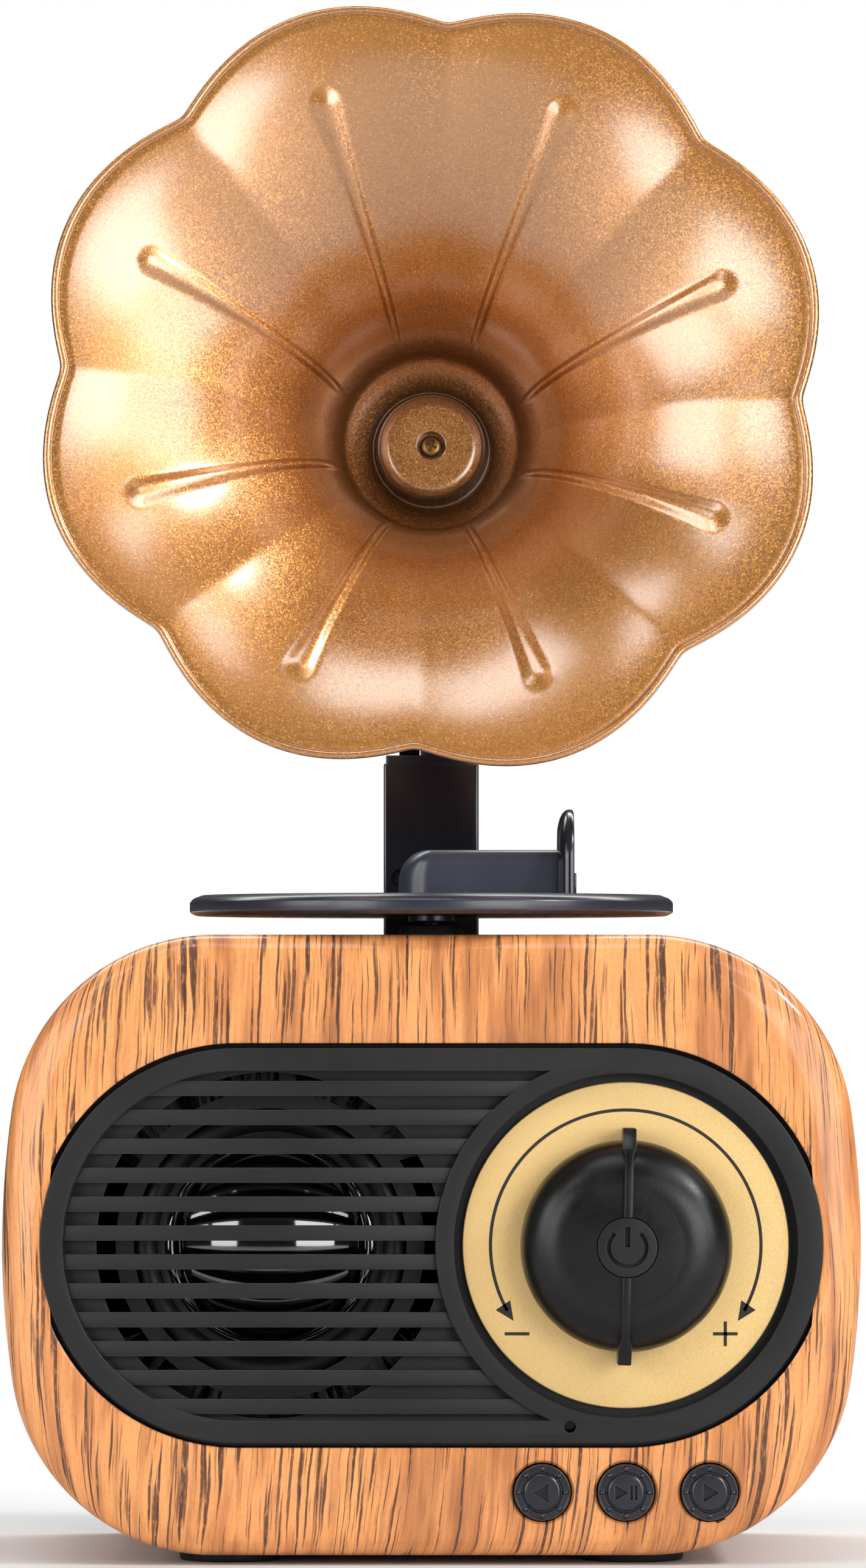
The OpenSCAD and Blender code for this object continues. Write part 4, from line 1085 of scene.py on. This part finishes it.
def make_button(name, icon):
    """A round button with a riveted rim, a groove, a raised middle and a sunken generic icon."""
    x, z = (v / MM for v in button_place(name))
    r = CAP_R
    place = front_frame(x * MM, z * MM)
    profile = rounded([(0, 0.80), (2.20, 0.80, 0.12), (2.45, 0.60, 0.12), (2.50, 0.20, 0.04),
        (2.66, 0.20, 0.04), (2.76, 0.50, 0.08), (3.45, 0.42, 0.06), (3.52, 0.66, 0.08),
        (r - 0.14, 0.66, 0.12), (r, 0.4, 0.12), (r, -6.0), (r + 0.6, -6.0), (r + 0.6, -7.0), (1.5, -7.0),
        (1.5, -8.6), (0, -8.6)], 4)
    cap = turned(profile, place, 96)
    cutters = [plate([[(x + px, z + pz) for px, pz in outline]], -1.2, 0.30) for outline in icon]
    cap = carved(cap, cutters)
    pieces = [cap]
    for i in range(8):
        a = radians(45 * i)
        rivet = [(0.40, 0.2)]
        rivet += [(0.40 * cos(radians(b)), 0.40 + 0.46 * sin(radians(b))) for b in range(0, 90, 15)]
        rivet.append((0, 0.86))
        pieces.append(turned(rivet, front_frame((x + 3.1 * cos(a)) * MM, (z + 3.1 * sin(a)) * MM), 24))
    add_object(name + "_cap", joined(*pieces), "button_plastic", name, [name])


def make_buttons():
    left = [[(-1.3, 0), (0.85, 1.3), (0.85, -1.3)]]
    right = [[(1.3, 0), (-0.85, -1.3), (-0.85, 1.3)]]
    play = [[(0.35, 0), (-1.45, -1.05), (-1.45, 1.05)]]
    for bar in (0.72, 1.32):
        play.append([(bar - 0.18, -1.0), (bar + 0.18, -1.0), (bar + 0.18, 1.0), (bar - 0.18, 1.0)])
    make_button("button_previous", left)
    make_button("button_play", play)
    make_button("button_next", right)


# ---------- turntable ----------

DISC_THICK = 2.8
GROOVES = 40
LABEL_R = 12.4


def make_turntable():
    body_top = shell_hi.z / MM
    base = disc_hi.z / MM - DISC_THICK
    r = disc_r / MM
    top = base + DISC_THICK
    profile = [(0, base)]
    profile += rounded([(r - 1.4, base), (r - 0.9, base, 0.2), (r, base + 0.45, 0.2), (r, top - 1.0, 0.2),
        (r - 0.5, top - 0.45, 0.3), (r - 1.7, top, 0.1), (r - 1.8, top - 0.1)], 3)
    step = (r - 2.0 - LABEL_R) / GROOVES
    for i in range(GROOVES):
        g = r - 2.0 - step * i
        profile += [(g, top - 0.10), (g - step * 0.35, top - 0.10), (g - step * 0.5, top - 0.17),
            (g - step * 0.85, top - 0.17)]
    profile += [(12.2, top - 0.1), (11.9, top - 0.02), (11.4, top), (0, top)]
    disc = turned(profile, upright_frame(disc_x, disc_y, 0), 160)
    hub = turned(rounded([(0, base - 0.9), (2.9, base - 0.9, 0.1), (3.1, base - 0.7, 0.1),
        (3.1, base + 0.1)], 3), upright_frame(disc_x, disc_y, 0), 64)
    add_object("turning_disc", joined(disc, hub), "disc_plastic", "turntable", ["turntable_disc"])
    bush_lo, bush_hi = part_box("spindle_bush")
    ring = rounded([(1.56, bush_lo.z / MM), (1.56, bush_hi.z / MM, 0.1), (4.1, bush_hi.z / MM, 0.3),
        (4.4, body_top + 0.3, 0.1), (4.4, body_top), (3.2, body_top), (3.2, bush_lo.z / MM),
        (1.56, bush_lo.z / MM)], 3)
    add_object("spindle_collar", turned(ring, upright_frame(disc_x, disc_y, 0), 72), "rear_plastic",
        "cabinet", ["spindle_bush"])
    make_tone_arm()


def arm_outline(w, length, inset, end_inset):
    """Plan of the tone arm: a round end at the left and straight sides, drawn in by an inset, in mm."""
    r = w - inset
    left = [(x * (w - end_inset) / w, y * r / w) for x, y in arc(0, 0, w, 90, 270, 40)]
    return left + [(length * k / 8, -r) for k in range(1, 9)] + [(length * (8 - k) / 8, r)
        for k in range(0, 8)]


def make_tone_arm():
    """Round-ended bar lying on the disc, and the arched head at its end."""
    arm_lo, arm_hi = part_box("tone_arm")
    w = (arm_hi.y - arm_lo.y) / 2 / MM
    length = (arm_hi.x - disc_x) / MM
    low, high = arm_lo.z / MM, arm_hi.z / MM
    fillet, end_rise, end_run = 1.9, 4.3, 4.0
    levels = [(low, 0.0, 0.0), (low + 0.3, 0.0, 0.0)]
    for i in range(0, 25):
        z = high - end_rise * (1 - sin(radians(90 * i / 24)))
        over = (z - (high - end_rise)) / end_rise
        side = max(0.0, (z - (high - fillet)) / fillet)
        levels.append((z, fillet * (1 - sqrt(max(0.0, 1 - side ** 2))),
            end_run * (1 - sqrt(max(0.0, 1 - over ** 2)))))
    rings = []
    for z, inset, end_inset in levels:
        ring = [Vector((disc_x + x * MM, disc_y + y * MM, z * MM))
            for x, y in arm_outline(w, length, inset, min(end_inset, w - 0.4))]
        rings.append(ring)
    bar = skin(rings, angle=50)
    add_object("tone_arm_bar", bar, "arm_plastic", "turntable", ["tone_arm"])

    head_lo, head_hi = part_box("tone_arm_head")
    r = (head_hi.y - head_lo.y) / 2
    base, top = head_lo.z, head_hi.z
    thickness = 2.2 * MM
    middle = top - base - r
    outline = [(r, 0.0)]
    outline += [(r * cos(radians(a)), middle + r * sin(radians(a))) for a in range(0, 181, 5)]
    outline += [(-r, 0.0)]
    rings = []
    for share, inset in ((0.0, 2.6), (0.06, 1.9), (0.16, 1.15), (0.3, 0.55), (0.48, 0.15), (0.65, 0.0),
            (0.85, 0.0), (0.95, 0.15), (1.0, 0.45)):
        ring = []
        for y, z in outline:
            rise = max(z - middle, 0)
            away = hypot(y, rise)
            k = max(0.0, away - inset * MM) / away if away > 0 else 1
            ring.append(Vector((head_lo.x + thickness * share, disc_y + y * k,
                base + min(z, middle) + rise * k)))
        rings.append(ring)
    head = skin(rings, angle=50)
    toe = block((head_lo.x + thickness * 0.6, disc_y - 2.0 * MM, base),
        (head_hi.x - 0.45 * MM, disc_y + 2.0 * MM, base + 3.0 * MM), 0.15, 3)
    add_object("tone_arm_plate", joined(head, toe), "arm_head_plastic", "turntable", ["tone_arm_head"])


# ---------- mast and neck ----------

SHOULDER = shell_hi.z + 24.3 * MM
TONGUE_R = 3.4
TONGUE_HALF = 1.5
CHEEK_IN = 1.6
NECK_HALF = 4.45
NECK_DEPTH_HALF = 3.3 * MM
mast_lo, mast_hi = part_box("mast")
mast_mid = (mast_lo.y + mast_hi.y) / 2
side_frame = Matrix.Translation((0, mast_mid, hinge.z)) @ Matrix.Rotation(radians(90), 4, "Y")


def make_mast():
    """The post with its two screw wells and lips, and the tongue that holds the hinge pin."""
    lo, hi, shoulder = mast_lo, mast_hi, SHOULDER
    post = block((lo.x, lo.y, lo.z), (hi.x, hi.y, shoulder), 0.35, 4)
    screw_lo, screw_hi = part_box("mast_screws")
    cutters = []
    side = (screw_hi.x - screw_lo.x) / 2 / MM - 1.05
    screw_z = (screw_lo.z + screw_hi.z) / 2
    depth = (lo.y - front_y) / MM
    for x in (-side, side):
        cutters.append(turned([(0, -depth - 1.8), (1.15, -depth - 1.8), (1.15, -depth - 0.15),
            (1.35, -depth + 0.2), (0, -depth + 0.2)], front_frame(x * MM, screw_z), 40))
    post = carved(post, cutters)
    lips = []
    for y0, y1 in ((lo.y + 0.02 * MM, lo.y + 0.8 * MM), (hi.y - 0.8 * MM, hi.y - 0.02 * MM)):
        lips.append(block((lo.x + 0.3 * MM, y0, shoulder - 1.2 * MM),
            (hi.x - 0.3 * MM, y1, shoulder + 1.1 * MM), 0.2, 3))
    add_object("mast_post", joined(post, *lips), "mast_plastic", "cabinet", ["mast"])

    half = TONGUE_HALF
    eye = rounded([(1.25, -half), (TONGUE_R, -half, 0.06), (TONGUE_R, half, 0.06), (1.25, half),
        (1.25, -half)], 3)
    tongue = turned(eye, side_frame, 72)
    web = block((-1.5 * MM, mast_mid - TONGUE_R * MM + 0.02 * MM, shoulder - 0.5 * MM),
        (1.5 * MM, mast_mid + TONGUE_R * MM - 0.02 * MM, hinge.z - 1.35 * MM), 0.05, 2)
    add_object("mast_tongue", joined(tongue, web), "mast_plastic", "cabinet")


def make_neck():
    """The forked neck over the tongue, its stalk and the hub that carries the horn."""
    cheeks = []
    for x0, x1 in ((-NECK_HALF, -CHEEK_IN), (CHEEK_IN, NECK_HALF)):
        cheeks.append(turned(rounded([(1.2, x0), (3.7, x0, 0.15), (3.7, x1, 0.15), (1.2, x1), (1.2, x0)],
            4), side_frame, 72))
    legs = []
    for x0, x1 in ((-NECK_HALF, -CHEEK_IN), (CHEEK_IN, NECK_HALF)):
        legs.append(block((x0 * MM, mast_mid - NECK_DEPTH_HALF, hinge.z + 1.3 * MM),
            (x1 * MM, mast_mid + NECK_DEPTH_HALF, hinge.z + 6.5 * MM), 0.10, 3))
    stalk = block((-NECK_HALF * MM, mast_mid - NECK_DEPTH_HALF, hinge.z + 3.9 * MM),
        (NECK_HALF * MM, mast_mid + NECK_DEPTH_HALF, hinge.z + 33.5 * MM), 0.9, 5)
    hub = turned(rounded([(0, 59), (5.9, 59, 0.3), (6.6, 59.6, 0.5), (6.6, 68.2, 0.8), (5.6, 69, 0.5),
        (0, 69)], 5), horn_frame, 96)
    add_object("neck_body", joined(*cheeks, *legs, stalk, hub), "mast_plastic", "horn_head", ["neck"])


# ---------- horn ----------

NOTCH_R = 48.6
PETAL_OUT = 3.9
PETALS = 8
HORN_DEPTH = 43.5
THROAT_R = 12.2
FLARE_DEPTH = HORN_DEPTH - 2.5
HORN_SEGMENTS = 768
BOSS_HEIGHT = 3.5
STEM_BACK = 59
RIB_START = 13.2
RIB_END = 42.2
RIB_HEIGHT = 0.52


def flare_r(t):
    """Radius of the flare at a share of its depth: 0 at the rim, 1 at the throat."""
    return THROAT_R + (NOTCH_R - THROAT_R) * max(0.0, 1 - max(t, 0.0) ** 0.72) ** 1.786


def petal_share(r):
    return max(0.0, (r - THROAT_R) / (NOTCH_R - THROAT_R)) ** 1.4


def petal(a):
    """Bulge of a petal at an angle: 0 at the notches, with a slightly softened crease, 1 in the middle."""
    s = sin(a * PETALS / 2)
    soft = 0.07
    return (sqrt(s * s + soft * soft) - soft) / (sqrt(1 + soft * soft) - soft)


def rib_lift(a, r):
    """Height of the embossed rib in the middle of each petal: flat on top, round at its outer end."""
    step = TAU / PETALS
    off = (a % step) - step / 2
    across = abs(off) * r
    t = held((r - RIB_START) / (RIB_END - RIB_START))
    half = 0.42 + 0.70 * t + 0.55 * t ** 5
    flank = 0.30 + 0.75 * t ** 3
    beyond = r - (RIB_END - half)
    away = hypot(across, max(beyond, 0.0))
    edge = half - away
    if edge <= -flank:
        return 0.0
    fade = held((r - RIB_START + 0.6) / 3.5)
    return RIB_HEIGHT * eased((edge + flank) / (flank + 0.75 * half)) * fade


def horn_mesh():
    """The whole horn: bead at the rim, petalled flare with ribs, throat groove, boss and stem."""
    rings = []

    def ring(radius, depth, share, ribs=0.0, slope=(0.0, -1.0)):
        row = []
        for i in range(HORN_SEGMENTS):
            a = TAU * i / HORN_SEGMENTS
            r = radius + PETAL_OUT * share * petal(a)
            d = depth
            if ribs:
                lift = rib_lift(a, r) * ribs
                r += lift * slope[0]
                d += lift * slope[1]
            row.append(horn_frame @ Vector((r * cos(a) * MM, r * sin(a) * MM, d * MM)))
        rings.append(row)

    boss_top = HORN_DEPTH - BOSS_HEIGHT
    for r, d in rounded([(1.92, boss_top + 1.2), (1.92, boss_top, 0.15), (5.9, boss_top, 0.5),
            (7.2, boss_top + 0.7, 0.8), (7.65, boss_top + 3.2, 0.2), (8.0, HORN_DEPTH - 0.05, 0.2),
            (THROAT_R, HORN_DEPTH - 3.9, 2.2), (THROAT_R + 0.32, HORN_DEPTH - 6.4)], 6):
        ring(r, d, 0.0)
    steps = 130
    for i in range(steps + 1):
        t = (1 - i / steps) ** 1.6
        if t < 0.005 or t * FLARE_DEPTH > HORN_DEPTH - 6.6:
            continue
        r = flare_r(t)
        run = (flare_r(t + 0.002) - flare_r(t - 0.002)) / 0.004 / FLARE_DEPTH
        length = hypot(run, 1)
        ring(r, t * FLARE_DEPTH, petal_share(r), 1.0, (-1 / length, run / length))
    bead_r, bead_d, bead = NOTCH_R - 0.2, 0.38, 0.55
    ring(bead_r - 0.78, 0.27, 0.99)
    ring(bead_r - 0.60, 0.31, 1.0)
    for a in range(170, -91, -20):
        t = radians(a)
        ring(bead_r + bead * cos(t), bead_d - bead * sin(t), 1.0)
    outer_steps = 44
    for i in range(1, outer_steps + 1):
        t = (i / outer_steps) ** 1.6
        r = flare_r(t)
        ring(r + 1.2 * (0.75 + 0.25 * t) - 0.9 * (1 - t) ** 20, t * FLARE_DEPTH + 0.85,
            petal_share(r) * 0.985)
    for r, d in rounded([(THROAT_R + 1.1, HORN_DEPTH - 1.0), (THROAT_R + 0.6, HORN_DEPTH, 0.8),
            (8.2, HORN_DEPTH + 3.4, 1.2), (6.2, HORN_DEPTH + 5.5, 1.5), (6.2, STEM_BACK, 0.2),
            (1.0, STEM_BACK)], 5):
        ring(r, d, 0.0)
    return skin(rings, closed_ends=False, angle=60)


def make_horn():
    add_object("horn_flare", horn_mesh(), "horn_paint", "horn_head", ["horn"])
    seat = HORN_DEPTH - BOSS_HEIGHT + 1.2
    head = turned(rounded([(0, seat - 0.95), (1.0, seat - 0.88, 0.3), (1.45, seat - 0.55, 0.2),
        (1.45, seat), (0.9, seat), (0.9, seat + 20), (0, seat + 20)], 4), horn_frame, 48)
    cutters = []
    for turn in (0, 90):
        cross = block((-0.8 * MM, -0.17 * MM, (seat - 1.5) * MM), (0.8 * MM, 0.17 * MM, (seat - 0.5) * MM),
            0.03, 1)
        cross.transform(horn_frame @ Matrix.Rotation(radians(turn + 20), 4, "Z"))
        cutters.append(cross)
    head = carved(head, cutters)
    floor = turned([(0.9, seat), (2.0, seat)], horn_frame, 48)
    add_object("horn_screw_head", head, "screw_bronze", "horn_head", ["horn_screw"])
    add_object("horn_screw_seat", floor, "horn_paint", "horn_head")


# ---------- carried-over CAD nodes ----------

BLACKENED = ("spindle", "spindle_clip", "mast_screws", "bracket_screws")


def dress_cad():
    """Gives every CAD node that stays its slot's procedural material, and black oxide instead to the spindle, its
    clip and the mast and bracket screws.
    """
    slots = {s["node"]: s["material_slot"] for s in frame["record"]["subparts"]}
    for name, obj in frame["nodes"].items():
        obj.data.materials.clear()
        obj.data.materials.append(MATERIALS["black_oxide" if name in BLACKENED else slots[name]])


# ---------- studio ----------

CAMERA_AWAY = 1.094
EYE_HEIGHT = 74.2 * MM
FRAME_HEIGHT = 206.0 * MM
FRAME_MIDDLE = 102.76 * MM
SENSOR = 36.0


def make_camera():
    data = bpy.data.cameras.new("camera")
    camera = placed("camera", data)
    camera.location = (-0.7 * MM, front_y - CAMERA_AWAY, EYE_HEIGHT)
    camera.rotation_euler = (radians(90), 0, 0)
    data.sensor_fit = "VERTICAL"
    data.sensor_height = SENSOR
    data.lens = CAMERA_AWAY * SENSOR / FRAME_HEIGHT
    data.shift_x = 0.9 * MM / FRAME_HEIGHT
    data.shift_y = (FRAME_MIDDLE - EYE_HEIGHT) / FRAME_HEIGHT
    data.clip_start = 0.01
    data.clip_end = 50
    bpy.context.scene.camera = camera


def area_light(name, place, target, width, height, power):
    data = bpy.data.lights.new(name, "AREA")
    data.shape = "RECTANGLE"
    data.size = width
    data.size_y = height
    data.energy = power
    light = placed(name, data)
    light.location = place
    direction = Vector(target) - Vector(place)
    light.rotation_euler = direction.to_track_quat("-Z", "Y").to_euler()


FLOOR_HALF = 0.75
FLOOR_CELLS = 24
MIDDLE = (0, 0, 0.11)
BELL = (0, 0, 0.17)
BEHIND = (0, 1.0, 0)
BACKDROP = (0, 1.6, 0)

# Name, place, what it points at, width, height and power.
LIGHTS = (
    ("front_left", (-0.73, -1.03, 0.27), MIDDLE, 0.43, 0.58, 4.2),
    ("front_right", (0.66, -1.08, 0.27), MIDDLE, 0.66, 0.58, 7.2),
    ("panel_left", (-0.72, -0.42, 0.30), BELL, 0.34, 0.44, 2.3),
    ("panel_right", (0.74, -0.46, 0.30), BELL, 0.34, 0.44, 1.8),
    ("overhead", (-0.10, -0.42, 1.05), MIDDLE, 0.6, 0.3, 2.6),
    ("upper_left", (-0.62, -0.72, 0.85), MIDDLE, 0.30, 0.20, 0.9),
    ("upper_right", (0.55, -0.72, 0.85), MIDDLE, 0.30, 0.20, 0.8),
    ("spark_right", (0.84, -0.34, 0.80), BELL, 0.15, 0.15, 6.5),
    ("top", (0.0, 0.75, 1.00), BEHIND, 1.6, 0.7, 10),
    ("backdrop", (0.0, 0.9, 1.1), BACKDROP, 2.6, 0.8, 40))


def make_floor():
    """Flat pale floor, faintly mottled."""
    n = Nodes("studio_floor")
    base = n.mix(n.level(n.noise(8, 3, 0.5), 0.3, 0.7, 0, 0.1), (0.64, 0.64, 0.64), (0.60, 0.60, 0.60))
    points = [(FLOOR_HALF * (2 * i / FLOOR_CELLS - 1), FLOOR_HALF * (2 * j / FLOOR_CELLS - 1), 0.0)
        for j in range(FLOOR_CELLS + 1) for i in range(FLOOR_CELLS + 1)]
    row = FLOOR_CELLS + 1
    faces = [(a, a + 1, a + row + 1, a + row) for j in range(FLOOR_CELLS)
        for a in range(j * row, j * row + FLOOR_CELLS)]
    mesh = mesh_from(points, faces, 60)
    mesh.materials.append(n.surface(Base_Color=base, Roughness=0.9))
    floor = placed("studio_floor", mesh)


def make_world():
    """White where the camera looks past the object, and a weak light on everything else."""
    world = bpy.data.worlds.new("studio")
    world.use_nodes = True
    tree = world.node_tree
    ground = tree.nodes["Background"]
    ground.inputs["Color"].default_value = (1, 1, 1, 1)
    seen = tree.nodes.new("ShaderNodeLightPath").outputs["Is Camera Ray"]
    strength = tree.nodes.new("ShaderNodeMapRange")
    strength.inputs["To Min"].default_value = 0.05
    strength.inputs["To Max"].default_value = 1.0
    tree.links.new(seen, strength.inputs["Value"])
    tree.links.new(strength.outputs["Result"], ground.inputs["Strength"])
    bpy.context.scene.world = world
    bpy.context.scene.view_settings.view_transform = "Standard"


def make_lights():
    for light in LIGHTS:
        area_light(*light)


make_camera()
dress_cad()
make_cabinet()
make_back()
make_fascia()
make_driver()
make_dial()
make_knob()
make_buttons()
make_turntable()
make_mast()
make_neck()
make_horn()
make_floor()
make_world()
make_lights()
